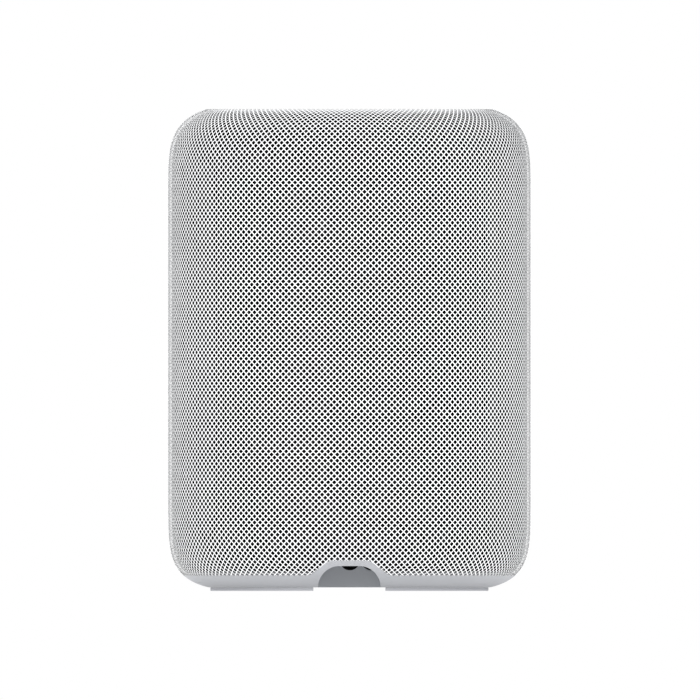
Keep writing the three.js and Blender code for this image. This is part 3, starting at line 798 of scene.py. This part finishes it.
def upright(name, profile, x=0.0, y=0.0, z=0.0, sides=40, sharp=40):
    """Turned piece about an upright axis, from (radius, z) points."""
    made = turned(name, [(r, -h) for r, h in profile][::-1], sides, closed=False, sharp=sharp)
    return moved(moved(made, turn=math.radians(-90), axis="X"), x, y, z)


def post(name, radius, z0, z1, x, y):
    return upright(name, [(0, z0), (radius, z0), (radius, z1), (0, z1)], x, y)


def add_feet():
    for side, sign in (("left", -1), ("right", 1)):
        low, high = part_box("foot_" + side)
        outer = max(-low.x, high.x)
        near = min(abs(low.x), abs(high.x))
        inner, top = outer - FOOT_WIDTH, BASE_BOTTOM - 0.05 * MM
        profile = rounded([(inner, 0), (outer, 0), (outer, top), (inner, top)], 0.3 * MM)
        pad = column("foot_" + side, profile, 192)
        x = sorted((sign * near, sign * HALF_WIDTH))
        half = block("half", x, (-HALF_WIDTH, HALF_WIDTH), (-5 * MM, 5 * MM))
        combine(pad, [half], "INTERSECT")
        stand_for(pad, FOOT_GREY, "foot_rubber", "foot_" + side, edge=0.12 * MM)


def add_bottom_cover():
    low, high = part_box("bottom_cover")
    cover = slab("bottom_cover", high.x, low.z, high.z, 0.5 * MM)
    side = RECESS_HALF + RECESS_WALL + 0.3 * MM
    inner = RECESS_BACK - RECESS_WALL - 0.3 * MM
    slot = block("slot", (-side, side), (inner, HALF_WIDTH), (-5 * MM, 10 * MM))
    wells = [post("well", 3.3 * MM, -MM, low.z + 1.6 * MM, x, y) for x, y, _ in SCREWS]
    holes = [post("hole", 1.7 * MM, -MM, 8 * MM, x, y) for x, y, _ in SCREWS]
    floor_z = low.z + 0.5 * MM
    groove = column("groove", [(47 * MM, 0), (48 * MM, 0), (47.8 * MM, floor_z), (47.2 * MM, floor_z)])
    cut(cover, slot, groove, *wells, *holes)
    for k in range(7):
        z, x = low.z + 0.6 * MM, (k - 3) * 5 * MM
        outline = rectangle(x - 0.9 * MM, x + 0.9 * MM, -14 * MM, 10 * MM, 0.85 * MM)
        cut(cover, prism("vent", outline, -MM, z, "Z"))
    stand_for(cover, SHELL_GREY, "shell_grey", "bottom_cover", edge=0.15 * MM)


def add_base_screws():
    """Pan-head screws seen from below, with a cross in the head and ridged shanks."""
    for k, place in enumerate(SCREWS, 1):
        low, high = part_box(f"base_screw_{k}")
        length = (high.z - low.z) / MM
        head = [(0, 0), (1.7, 0), (2.5, 0.25), (2.85, 0.7), (2.9, 1.2), (1.3, 1.2), (1.3, 1.6)]
        ridges = [(1.28 if j % 2 else 0.98, 1.9 + 0.42 * j) for j in range(26)]
        profile = scaled([*head, *ridges, (0.25, length - 0.1), (0, length)])
        screw = upright(f"base_screw_{k}", profile, sharp=30)
        for a, b in ((1.6, 0.28), (0.28, 1.6)):
            outline = rectangle(-a * MM, a * MM, -b * MM, b * MM)
            cut(screw, prism("cross", outline, -MM, 0.6 * MM, "Z"), sharp=30)
        moved(screw, place.x, place.y, low.z)
        stand_for(screw, STEEL, "screw_steel", f"base_screw_{k}")


# ---- Cable recess ----

PINS = [middle("inlet_pin_1"), middle("inlet_pin_2")]
LOBE, WAIST = 4.1 * MM, 2.3 * MM
INLET_DEPTH = 12 * MM
JACK_PLACE = (9 * MM, 17 * MM)  # x and z of its middle
JACK_OUTER, JACK_BORE = 2.4 * MM, 1.75 * MM
BUTTON_COLLAR = 0.6 * MM  # how far the button's collar reaches past its cap


def figure_eight(grow=0.0):
    """Outline of the mains inlet: two lobes round the pins, joined by a level waist."""
    open_angle = math.degrees(math.asin((WAIST + grow) / (LOBE + grow)))
    left, right = sorted(PINS, key=lambda pin: pin.x)
    return [
        *arc((right.x, right.z), LOBE + grow, open_angle - 180, 180 - open_angle, 32),
        *arc((left.x, left.z), LOBE + grow, open_angle, 360 - open_angle, 32),
    ]


def add_recess():
    """Lining of the pocket: two sides, a ceiling, and the wall with the sockets' openings."""
    low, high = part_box("cable_recess")
    lining = block("cable_recess", (low.x, high.x), (low.y, HALF_WIDTH), (BASE_BOTTOM, high.z), 1.2 * MM)
    clear = 0.3 * MM
    room = column("room", [(0, BASE_BOTTOM), *inside_wall(clear), (0, BASE_TOP)], 192, closed=False)
    combine(lining, [room], "INTERSECT")
    across, along = (-RECESS_HALF, RECESS_HALF), (RECESS_BACK, HALF_WIDTH + MM)
    hollow = block("hollow", across, along, (-8 * MM, RECESS_CEILING), 1.5 * MM)
    button = middle("setup_button")
    button_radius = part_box("setup_button")[1].x - button.x - BUTTON_COLLAR
    through = low.y - MM, RECESS_BACK + MM
    cut(
        lining,
        hollow,
        prism("inlet", figure_eight(0.1 * MM), *through),
        rod("jack", JACK_OUTER + clear, *through, *JACK_PLACE),
        rod("button", button_radius + clear, *through, button.x, button.z),
    )
    # The lining is painted lighter than the shell, as painted light against the shade in the pocket.
    stand_for(lining, RECESS_LIGHTENED_GREY, "recess_grey", "cable_recess", edge=0.25 * MM)


def add_inlet():
    body = box_block("mains_inlet", 1.2 * MM)
    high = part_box("mains_inlet")[1]
    cut(body, prism("cavity", figure_eight(), RECESS_BACK - INLET_DEPTH, high.y + MM))
    cut(body, *(rod("pin_hole", 1.25 * MM, high.y - 30 * MM, high.y, pin.x, pin.z) for pin in PINS))
    stand_for(body, MATT_BLACK, "socket_black", "mains_inlet", edge=0.2 * MM)
    for k, pin in enumerate(PINS, 1):
        low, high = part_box(f"inlet_pin_{k}")
        piece = rod(f"inlet_pin_{k}", high.x - pin.x, low.y, high.y, pin.x, pin.z, 1.1 * MM)
        stand_for(piece, NICKEL, "pin_metal", f"inlet_pin_{k}")


def add_jack():
    low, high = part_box("line_in_jack")
    x, z = JACK_PLACE
    behind = RECESS_BACK - RECESS_WALL - 0.3 * MM
    body = block("line_in_jack", (low.x, high.x), (low.y, behind), (low.z, high.z), 0.5 * MM)
    combine(body, [rod("nose", JACK_OUTER, behind - MM, high.y, x, z, 0.3 * MM)], "UNION")
    cut(body, rod("bore", JACK_BORE, behind - 10 * MM, high.y + 5 * MM, x, z, sides=40))
    stand_for(body, MATT_BLACK, "socket_black", "line_in_jack")
    outer, inner = JACK_BORE - 0.02 * MM, JACK_BORE - 0.2 * MM
    start, end = behind - 8 * MM, behind - MM
    contact = turned("line_in_contact", [(inner, start), (outer, start), (outer, end), (inner, end)], 40)
    stand_for(moved(contact, x, 0, z), NICKEL, "pin_metal", "line_in_jack")


def add_setup_button():
    low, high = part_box("setup_button")
    here = middle("setup_button")
    collar = high.x - here.x
    radius, behind = collar - BUTTON_COLLAR, RECESS_BACK - RECESS_WALL - 0.3 * MM
    cap = [(0, low.y), (radius, low.y), (radius, behind - 1.2 * MM), (collar, behind - 1.2 * MM)]
    edge = arc((radius - 0.3 * MM, high.y - 0.3 * MM), 0.3 * MM, 0, 90, 5)
    cap += [(collar, behind), (radius, behind), *edge]
    cap += [(0.7 * MM, high.y), (0.45 * MM, high.y - 0.12 * MM), (0, high.y - 0.15 * MM)]
    button = moved(turned("setup_button", cap, 48, closed=False), here.x, 0, here.z)
    stand_for(button, BUTTON_GREY, "button_grey", "setup_button", body="setup_button")


def add_setup_switch():
    low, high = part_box("setup_switch")
    here = middle("setup_switch")
    body = block("setup_switch", (low.x, high.x), (low.y, high.y - 0.5 * MM), (low.z, high.z), 0.4 * MM)
    stand_for(body, STEEL, "socket_black", "setup_switch", edge=0.15 * MM)
    plunger = rod("setup_switch_plunger", 0.9 * MM, high.y - 0.8 * MM, high.y, here.x, here.z)
    stand_for(plunger, CHIP_BLACK, "socket_black", "setup_switch")


# ---- Touch top ----

COVER_LOW, COVER_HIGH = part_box("top_cover")
DISH_EDGE, DISH_DEPTH = COVER_HIGH.x - 2.1 * MM, 2.4 * MM


def dish_z(x, y):
    """Height of the dished top."""
    r = (abs(x) ** SQUARENESS + abs(y) ** SQUARENESS) ** (1 / SQUARENESS)
    return COVER_HIGH.z - DISH_DEPTH * (1 - min(r / DISH_EDGE, 1) ** 2)


def laid_on_dish(piece, proud=0.04 * MM, depth=0.3 * MM):
    """Top points of a flat piece go just above the dish, the others into it."""
    for vertex in piece.data.vertices:
        x, y, z = vertex.co
        vertex.co.z = dish_z(x, y) + (proud if z > 0 else -depth)
    piece.data.update()
    return piece


def add_top_cover():
    brim, under, edge = COVER_HIGH.z, COVER_LOW.z, COVER_HIGH.x
    dish = [(r, dish_z(r, 0)) for r in np.linspace(0, DISH_EDGE, 30)]
    corners = [dish[-1], (edge, brim), (edge, under + MM), (edge - MM, under), (0, under)]
    side = rounded(corners, 0.5 * MM, 4, closed=False)
    cover = column("top_cover", dish[:-1] + side, 256, closed=False)
    lens = middle("status_light_lens")
    long, wide = 4 * MM, MM
    window = rectangle(lens.x - long, lens.x + long, lens.y - wide, lens.y + wide, 0.9 * MM, 6)
    holes = [circle(m.x, m.y, 0.6 * MM, 24) for m in map(middle, MICROPHONES)]
    tools = [prism("hole", outline, under - MM, brim + MM, "Z") for outline in (window, *holes)]
    cut(cover, *tools, sharp=35)
    stand_for(cover, TOP_WHITE, "top_panel", "top_cover")


def add_touch_marks():
    """Plain plus, minus and ring marks on the touch surface."""
    arm, half = 3.2 * MM, 0.4 * MM
    bar = rectangle(-arm, arm, -half, half)
    for name, x, outline in (("plus", 30 * MM, cross_outline(arm, half)), ("minus", -30 * MM, bar)):
        shifted = [(x + px, py) for px, py in outline]
        mark = laid_on_dish(prism(f"touch_mark_{name}", shifted, -1, 1, "Z"))
        stand_for(mark, ICON_GREY, "top_panel", "top_cover")
    sides = 64
    rows = [(8.2, 1), (9, 1), (9, -1), (8.2, -1)]
    turns = [2 * math.pi * i / sides for i in range(sides)]
    verts = [(r * MM * math.cos(t), r * MM * math.sin(t), z) for r, z in rows for t in turns]
    ring = laid_on_dish(make_object("touch_mark_ring", verts, ring_faces(4, sides, True)))
    stand_for(ring, ICON_GREY, "top_panel", "top_cover")


def cross_outline(arm, half):
    corner = [(half, half), (half, arm), (-half, arm), (-half, half)]
    turns = [(1, 0), (0, 1), (-1, 0), (0, -1)]
    points = []
    for c, s in turns:
        points += [(c * x - s * y, s * x + c * y) for x, y in corner[:3]]
    return points


def add_status_light():
    for name, radius, edge in (("lens", 0.65 * MM, 0.1 * MM), ("guide", 1.2 * MM, 0.2 * MM)):
        node = f"status_light_{name}"
        low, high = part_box(node)
        outline = rectangle(low.x, high.x, low.y, high.y, radius, 6)
        stand_for(prism(node, outline, low.z, high.z, "Z"), MILK, "lens", node, edge=edge)


MICROPHONES = [f"microphone_{k}" for k in range(1, 5)]


def add_touch_electronics():
    low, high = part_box("touch_sensor_sheet")
    sheet = slab("touch_sensor_sheet", high.x, low.z, high.z, 0.1 * MM)
    stand_for(sheet, FILM, "sensor_film", "touch_sensor_sheet")
    low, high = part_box("control_board")
    board = slab("control_board", high.x, low.z, high.z, 0.15 * MM)
    places = [(x, y) for x in (-38 * MM, 38 * MM) for y in (-2 * MM, 2 * MM)]
    cut(board, *(post("hole", 1.6 * MM, low.z - MM, high.z + MM, *place) for place in places))
    stand_for(board, BOARD_GREEN, "circuit_board", "control_board")
    parts = scattered("control_board_parts", 11, 40, (-26, 26), (-24, 24), 1.2)
    moved(parts, turn=math.radians(-90), axis="X")
    moved(parts, z=high.z)
    stand_for(parts, CHIP_BLACK, "circuit_board", "control_board", edge=0.08 * MM)
    for name in MICROPHONES:
        low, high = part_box(name)
        here = middle(name)
        radius, port = (high.x - low.x) / 2, 0.5 * MM
        can = [(0, low.z), (radius, low.z), (radius, high.z), (port, high.z)]
        can = rounded(can, 0.3 * MM, closed=False)
        can += [(port, high.z - 0.6 * MM), (0, high.z - 0.6 * MM)]
        stand_for(upright(name, can, here.x, here.y, sides=48), NICKEL, "screw_steel", name)


def add_top_housing():
    low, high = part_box("top_housing")
    wall, chamfer = 2.4 * MM, 2 * MM
    edge, top = high.x, high.z
    profile = [(0, low.z), (edge - chamfer, low.z), (edge, low.z + chamfer), (edge, top), (edge - wall, top)]
    profile += [(edge - wall, low.z + wall), (0, low.z + wall)]
    tub = column("top_housing", rounded(profile, 0.6 * MM, closed=False), closed=False)
    stand_for(tub, MATT_BLACK, "cage_black", "top_housing")


# ---- Cage ----


def add_cage():
    """Moulded cage that carries the sleeve, open where the drivers fire and where heat leaves."""
    low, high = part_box("sleeve_cage")
    depth, thickness = HALF_WIDTH - high.x, 2 * MM
    top = 184 * MM
    profile = side_points(low.z, top, depth, 60) + side_points(low.z, top, depth + thickness, 60)[::-1]
    cage = column("sleeve_cage", profile, 192)
    far, corner = HALF_WIDTH, 5 * MM
    front = block("front", (-54 * MM, 54 * MM), (-far, -30 * MM), (29 * MM, 179 * MM), corner)
    rear = block("rear", (-32 * MM, 32 * MM), (30 * MM, far), (66 * MM, 146 * MM), corner)
    heights = (40 * MM, 98 * MM), (106 * MM, 164 * MM)
    sides = [block("side", (-22 * MM, 18 * MM), (-far, far), z, corner) for z in heights]
    for side in sides:
        moved(side, turn=math.radians(90))
    cut(cage, front, rear, *sides)
    stand_for(cage, MATT_BLACK, "cage_black", "sleeve_cage", edge=0.3 * MM)


# ---- Speaker box ----

BOX_HALF, BOX_BOTTOM, BOX_SPLIT, BOX_TOP = 66 * MM, 30 * MM, 130.5 * MM, 176.5 * MM
BOX_FRONT, BOX_BACK, BOX_WALL = -52 * MM, 40 * MM, 3 * MM
SMALL_TURN, SMALL_FACE, SMALL_HOLE = math.radians(25), 57 * MM, 18.3 * MM
SMALL_Z = middle("left_driver_basket").z
WOOFER_Z, WOOFER_HOLE = middle("woofer_basket").z, 44.4 * MM


def flat_front(inset, z0, z1):
    """Part of the speaker box behind the flat front, made smaller all round."""
    piece = slab("flat_front", BOX_HALF - inset, z0, z1, 0)
    across, along = (-HALF_WIDTH, HALF_WIDTH), (BOX_FRONT + inset, BOX_BACK - inset)
    room = block("room", across, along, (0, HEIGHT))
    return combine(piece, [room], "INTERSECT")


def angled_faces(inset, z0, z1):
    """Part of the speaker box behind the two angled faces, made smaller all round."""
    piece, far = slab("angled_faces", BOX_HALF - inset, z0, z1, 0), 200 * MM
    rooms = [block("room", (-HALF_WIDTH, HALF_WIDTH), (-HALF_WIDTH, BOX_BACK - inset), (0, HEIGHT))]
    for turn in (SMALL_TURN, -SMALL_TURN):
        rooms.append(moved(block("room", (-far, far), (inset - SMALL_FACE, far), (0, HEIGHT)), turn=turn))
    return combine(piece, rooms, "INTERSECT")


def box_body(inset):
    """The box as a solid; a neck joins its lower and upper parts."""
    low, high = BOX_SPLIT - inset - MM, BOX_SPLIT + inset + MM
    neck = combine(flat_front(inset, low, high), [angled_faces(inset, low, high)], "INTERSECT")
    lower = flat_front(inset, BOX_BOTTOM + inset, BOX_SPLIT - inset)
    return combine(lower, [neck, angled_faces(inset, BOX_SPLIT + inset, BOX_TOP - inset)], "UNION")


def add_speaker_box():
    hollow = box_body(0)
    holes = [rod("hole", WOOFER_HOLE, BOX_FRONT - 5 * MM, BOX_FRONT + 8 * MM, 0, WOOFER_Z, 0, 96)]
    for turn in (SMALL_TURN, -SMALL_TURN):
        hole = rod("hole", SMALL_HOLE, -SMALL_FACE - 8 * MM, -SMALL_FACE + 8 * MM, 0, 0, 0, 64)
        holes.append(moved(hole, z=SMALL_Z, turn=turn))
    cut(hollow, box_body(BOX_WALL), *holes)
    far = HALF_WIDTH + MM
    rear_low, front_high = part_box("enclosure_rear")[0].y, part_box("enclosure_front")[1].y
    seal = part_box("enclosure_seal")
    parts = (
        ("enclosure_front", (-far, front_high), BOX_BLACK, "box_black", 0.8 * MM),
        ("enclosure_seal", (seal[0].y, seal[1].y), RUBBER, "seal_rubber", 0.2 * MM),
        ("enclosure_rear", (rear_low, far), BOX_BLACK, "box_black", 0.8 * MM),
    )
    for name, reach, material, slot, edge in parts:
        piece = copied(hollow, name)
        combine(piece, [block("slice", (-far, far), reach, (-MM, HEIGHT + MM))], "INTERSECT")
        stand_for(piece, material, slot, name, edge=edge)
    bpy.data.objects.remove(hollow)


# ---- Woofer ----

WOOFER_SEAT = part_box("woofer_basket")[0].y + 2.2 * MM
CONE_BODY = "woofer_cone_assembly"


def woofer_part(name, profile, sides=128, closed=True):
    """Turned part of the woofer from radius and distance behind the flange's seat, in millimetres."""
    return moved(turned(name, scaled(profile), sides, closed), 0, WOOFER_SEAT, WOOFER_Z)


def soft_corners(profile, radius=0.35, closed=True):
    return rounded(profile, radius, 3, closed)


def add_woofer_basket():
    profile = [(44.4, -2.2), (49, -2.2), (49, 0), (44, 0), (41.6, 7), (31.2, 27), (31.2, 33.5)]
    profile += [(14.2, 33.5), (14.2, 31.5), (29.2, 31.5), (29.2, 27), (39.7, 6.5), (41.8, -0.8), (44.4, -0.8)]
    basket = woofer_part("woofer_basket", soft_corners(profile))
    tools = []
    for k in range(6):
        window = block("window", (-9 * MM, 9 * MM), (9.5 * MM, 22.5 * MM), (28.5 * MM, 43.5 * MM))
        soften_now(window, 3 * MM)
        tools.append(moved(window, turn=math.radians(60 * k), axis="Y"))
        hole = rod("hole", 1.3 * MM, -5 * MM, 3 * MM, 0, 0, 0, 24)
        tools.append(moved(moved(hole, z=46.7 * MM), turn=math.radians(60 * k + 30), axis="Y"))
    for tool in tools:
        moved(tool, 0, WOOFER_SEAT, WOOFER_Z)
    cut(basket, *tools)
    stand_for(basket, POWDER, "driver_frame", "woofer_basket", edge=0.2 * MM)


def soften_now(piece, width):
    """Rounds the edges of a cutting tool, for good."""
    soften(piece, width, 4)
    combine(piece, [], "UNION")


def roll(outer, inner, seat, inner_seat, height, thickness):
    """Half-roll edge from an outer lip to an inner lip that sits deeper."""
    lip = 1.7 * (outer - inner) / 7
    start, end = outer - lip, inner + lip
    centre, radius = (start + end) / 2, (start - end) / 2
    front = arc((centre, seat - thickness / 2), radius + thickness / 2, 0, -180, 16, height / radius)
    back = arc((centre, seat - thickness / 2), radius - thickness / 2, -180, 0, 16, height / radius)
    top = inner_seat - thickness
    inside = [(end - thickness / 2, top), (inner, top), (inner, inner_seat)]
    inside.append((end + thickness / 2, inner_seat))
    return [(outer, seat), (outer, seat - thickness), *front, *inside, *back]


def add_woofer_surround():
    piece = woofer_part("woofer_surround", roll(44.1, 37.1, -1.1, 1, 2.8, 0.8))
    stand_for(piece, RUBBER, "seal_rubber", "woofer_surround")
    begin, end = (0, WOOFER_SEAT - 0.9 * MM, WOOFER_Z), (0, WOOFER_SEAT + 0.2 * MM, WOOFER_Z)
    return piece, begin, end


def add_woofer_cone():
    front = bend((36.8, -0.6), (26, 12), (13.5, 19.3), 16)
    back = [(r, depth + 1.1) for r, depth in front]
    cone = woofer_part("woofer_cone", front + back[::-1])
    stand_for(cone, PAPER, "cone_paper", "woofer_cone", body=CONE_BODY)
    dome = arc((0, 38), 26.8, -90, -54.5, 12)
    shell = arc((0, 38), 26, -54.5, -90, 12)
    cap = woofer_part("woofer_dust_cap", dome + shell, closed=False)
    stand_for(cap, PAPER, "cone_paper", "woofer_dust_cap", body=CONE_BODY)


def add_voice_coil():
    former = woofer_part("woofer_coil_former", [(12.3, 19), (12.7, 19), (12.7, 44), (12.3, 44)])
    stand_for(former, FILM, "sensor_film", "woofer_voice_coil", body=CONE_BODY)
    turns = [(13.2 if k % 2 else 13.0, 32 + 0.25 * k) for k in range(37)]
    winding = woofer_part("woofer_voice_coil", [(12.75, 32), *turns, (12.75, 41)])
    stand_for(winding, COPPER, "coil_copper", "woofer_voice_coil", body=CONE_BODY)


def add_spider():
    """Corrugated centring disc, with a collar that reaches forwards along the coil."""
    steps = [k / 60 for k in range(61)]
    wave = lambda lift: [(27.6 - 11.6 * t, lift + 0.45 * (1 - math.cos(10 * math.pi * t))) for t in steps]
    collar = [(14.6, 27), (13.9, 26.2), (13.6, 25), (13.9, 25), (14.3, 26.3), (14.9, 27.5)]
    profile = [(28.8, 27), *wave(27), *collar, *wave(27.5)[::-1], (28.8, 27.5)]
    piece = woofer_part("woofer_spider", profile)
    stand_for(piece, SPIDER_CLOTH, "spider_cloth", "woofer_spider")
    return piece, (0, WOOFER_SEAT + 27 * MM, WOOFER_Z), (0, WOOFER_SEAT + 25.6 * MM, WOOFER_Z)


def add_motor():
    plate = [(14, 33.8), (27.5, 33.8), (27.5, 38.3), (14, 38.3)]
    magnet = [(17, 38.6), (32, 38.6), (32, 51), (17, 51)]
    yoke = [(2.5, 34), (11.6, 34), (11.6, 51.3), (29, 51.3), (29, 55.8), (2.5, 55.8)]
    parts = (
        ("woofer_top_plate", plate, 0.5, STEEL, "plate_steel"),
        ("woofer_magnet", magnet, 0.9, FERRITE, "ferrite"),
        ("woofer_yoke", yoke, 0.6, STEEL, "plate_steel"),
    )
    for name, profile, corner, material, slot in parts:
        stand_for(woofer_part(name, soft_corners(profile, corner)), material, slot, name)
    low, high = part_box("woofer_gasket")
    outer, thickness = (high.x - low.x) / 2, high.y - low.y
    profile = rounded(rectangle(outer - 4 * MM, outer, 0, thickness), 0.2 * MM)
    gasket = moved(turned("woofer_gasket", profile, 128), 0, low.y, WOOFER_Z)
    stand_for(gasket, RUBBER, "seal_rubber", "woofer_gasket")


# ---- Full-range drivers -------------------------------------------------------------------------

SMALL_SEAT = SMALL_FACE + 0.3 * MM


def add_small_driver(side, turn):
    """One angled driver, from radius and distance behind its flange's seat."""
    away = Vector((math.sin(turn), -math.cos(turn), 0))
    seat = away * SMALL_SEAT + Vector((0, 0, SMALL_Z))

    def part(name, profile, closed=True, sides=96):
        made = turned(f"{side}_driver_{name}", scaled(profile), sides, closed)
        return moved(made, *seat, turn=turn)

    basket = [(19.3, -2.2), (22, -2.2), (22, 0), (17.9, 0), (17.9, 12.5)]
    basket += [(9, 12.5), (9, 11), (16.3, 11), (16.3, -0.8), (19.3, -0.8)]
    frame_piece = part("basket", soft_corners(basket, 0.3))
    tools = []
    for k in range(4):
        window = block("window", (-5 * MM, 5 * MM), (3 * MM, 9 * MM), (12 * MM, 20 * MM), 0)
        tools.append(moved(window, turn=math.radians(90 * k + 45), axis="Y"))
    for tool in tools:
        moved(tool, *seat, turn=turn)
    cut(frame_piece, *tools)
    stand_for(frame_piece, POWDER, "driver_frame", f"{side}_driver_basket", edge=0.15 * MM)

    face = [(0, -1.9), (4, -1.86), (9, -1.7), (12, -1.55), (15.1, -1.9), (15.1, -1.2), (12, -0.9), (8.1, -1)]
    diaphragm = part("diaphragm", [*face, (8.1, 15), (7.3, 15), (7.3, -1), (0, -1.2)], closed=False)
    stand_for(diaphragm, PAPER, "cone_paper", f"{side}_driver_diaphragm", body=f"{side}_diaphragm")

    edge = part("surround", roll(19, 14.6, -1.1, -0.4, 1.1, 0.5))
    stand_for(edge, RUBBER, "seal_rubber", f"{side}_driver_surround")
    magnet = [(0, 12.9), (6.8, 12.9), (6.8, 18.5), (8.7, 18.5), (8.7, 12.8)]
    magnet += [(12.5, 12.8), (12.5, 22), (0, 22)]
    magnet_piece = part("magnet", soft_corners(magnet, 0.5, False), closed=False)
    stand_for(magnet_piece, FERRITE, "ferrite", f"{side}_driver_magnet")
    return edge, seat + away * 1.0 * MM, seat + away * 0.9 * MM


# ---- Electronics behind the box ----


def scattered(name, seed, count, across, up, height):
    """Small board components in a zone, in millimetres, standing on y = 0 towards +Y."""
    random = np.random.default_rng(seed)
    verts, faces, taken = [], [], []
    for _ in range(count):
        w, h = random.choice([(1.6, 0.9), (2.2, 1.3), (3.2, 1.8), (5, 4)], p=[0.4, 0.3, 0.2, 0.1])
        x, z = random.uniform(*across), random.uniform(*up)
        y = height * random.uniform(0.5, 1)
        if any(abs(x - a) < (w + c) / 2 + 0.5 and abs(z - b) < (h + d) / 2 + 0.5 for a, b, c, d in taken):
            continue
        taken.append((x, z, w, h))
        first = len(verts)
        corners = [(sx, sy, sz) for sy in (0, 1) for sx, sz in ((-1, -1), (1, -1), (1, 1), (-1, 1))]
        verts += [((x + sx * w / 2) * MM, sy * y * MM, (z + sz * h / 2) * MM) for sx, sy, sz in corners]
        sides = [(i, (i + 1) % 4, 4 + (i + 1) % 4, 4 + i) for i in range(4)]
        faces += [[first + i for i in face] for face in ((0, 1, 2, 3), (7, 6, 5, 4), *sides)]
    return make_object(name, verts, faces)


def circuit_board(name, inset):
    """Upright board with rounded corners and four fixing holes."""
    low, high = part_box(name)
    board = box_block(name, 2 * MM)
    holes = [
        rod("hole", 1.6 * MM, low.y - MM, high.y + MM, x, z, 0, 32)
        for x in (low.x + inset, high.x - inset)
        for z in (low.z + inset, high.z - inset)
    ]
    cut(board, *holes)
    return stand_for(board, BOARD_GREEN, "circuit_board", name)


def add_boards():
    board_parts = (
        ("main_board", 4 * MM, [(3, 40, (-36, 36), (64, 74)), (5, 60, (-36, 36), (138, 149))]),
        ("power_board", 3 * MM, [(7, 24, (23, 37), (31, 55))]),
        ("port_board", 2.5 * MM, [(9, 10, (-18, -16), (8, 20))]),
    )
    for name, inset, zones in board_parts:
        circuit_board(name, inset)
        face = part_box(name)[1].y
        for k, (seed, count, across, up) in enumerate(zones, 1):
            parts = moved(scattered(f"{name}_parts_{k}", seed, count, across, up, 2.2), y=face)
            stand_for(parts, CHIP_BLACK, "circuit_board", name, edge=0.1 * MM)


def add_heat_sink():
    """Extruded comb with tapered fins."""
    low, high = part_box("heat_sink")
    fins, root, base = 11, 0.8 * MM, 3.5 * MM
    outline = [(high.x, low.y), (high.x, low.y + base)]
    reach = (high.x - low.x) / 2 - MM
    for k in range(fins):
        x = reach * (1 - 2 * k / (fins - 1))
        outline += [(x + root, low.y + base), (x + 0.6 * root, high.y - 0.3 * MM), (x + 0.3 * root, high.y)]
        outline += [(x - 0.3 * root, high.y), (x - 0.6 * root, high.y - 0.3 * MM), (x - root, low.y + base)]
    outline += [(low.x, low.y + base), (low.x, low.y)]
    sink = prism("heat_sink", outline, low.z, high.z, "Z")
    stand_for(sink, ALUMINIUM, "sink_aluminium", "heat_sink", edge=0.1 * MM)


def add_power_parts():
    low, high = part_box("transformer")
    along = (low.y + 4 * MM, high.y - 3 * MM)
    core = block("transformer_core", (low.x, high.x), along, (low.z, high.z), 0.8 * MM)
    x, z = (low.x + 3 * MM, high.x - 3 * MM), (low.z + 4 * MM, high.z - 4 * MM)
    cut(core, block("window", x, (0, HALF_WIDTH), z, 0.5 * MM))
    stand_for(core, FERRITE, "ferrite", "transformer", edge=0.3 * MM)
    x, z = (low.x + 3.1 * MM, high.x - 3.1 * MM), (low.z + 4.1 * MM, high.z - 4.1 * MM)
    winding = block("transformer_winding", x, (low.y, high.y), z, 1.5 * MM)
    stand_for(winding, TAPE, "winding_tape", "transformer", edge=1.6 * MM)
    low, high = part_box("reservoir_capacitor")
    here, radius = middle("reservoir_capacitor"), (high.x - low.x) / 2
    length, r = (high.z - low.z) / MM, radius / MM
    can = [(0, 0), (r - 1, 0), (r - 0.2, 0.5), (r, 1.2), (r, 2.2), (r - 0.5, 2.9), (r, 3.6)]
    can.append((r, length - 0.8))
    can += [(r - 0.8, length), (r - 1.6, length), (r - 1.8, length - 0.3), (0, length - 0.3)]
    piece = upright("reservoir_capacitor", scaled(can), here.x, here.y, low.z, sides=72)
    groove = 0.2 * MM
    for a, b in ((3.6 * MM, groove), (groove, 3.6 * MM)):
        outline = rectangle(here.x - a, here.x + a, here.y - b, here.y + b)
        cut(piece, prism("vent", outline, high.z - 0.6 * MM, high.z + MM, "Z"))
    stand_for(piece, SHRINK, "capacitor_sleeve", "reservoir_capacitor")


def add_antennas():
    """Flat foil aerials with meander slots."""
    for side in ("left", "right"):
        low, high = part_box(f"antenna_{side}")
        foil = box_block(f"antenna_{side}", 1 * MM)
        slots = []
        for k in range(4):
            z = low.z + (3 + 3.2 * k) * MM
            x = (low.x - MM, high.x - 3 * MM) if k % 2 else (low.x + 3 * MM, high.x + MM)
            slots.append(block("slot", x, (low.y - MM, high.y + MM), (z, z + 1.2 * MM)))
        cut(foil, *slots)
        stand_for(foil, FOIL, "coil_copper", f"antenna_{side}", edge=0.08 * MM)


# ---- Assembly ----

add_liner()
add_base()
add_feet()
add_bottom_cover()
add_base_screws()
add_recess()
add_inlet()
add_jack()
add_setup_button()
add_setup_switch()
add_top_cover()
add_touch_marks()
add_status_light()
add_touch_electronics()
add_top_housing()
add_cage()
add_speaker_box()
add_woofer_basket()
add_woofer_cone()
add_voice_coil()
add_motor()
soft_edges = [
    (CONE_BODY, *add_woofer_surround()),
    (CONE_BODY, *add_spider()),
    ("left_diaphragm", *add_small_driver("left", -SMALL_TURN)),
    ("right_diaphragm", *add_small_driver("right", SMALL_TURN)),
]
add_boards()
add_heat_sink()
add_power_parts()
add_antennas()

# ---- Finish ----

for moving, piece, start, end in soft_edges:
    piece.parent = None
    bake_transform(piece)
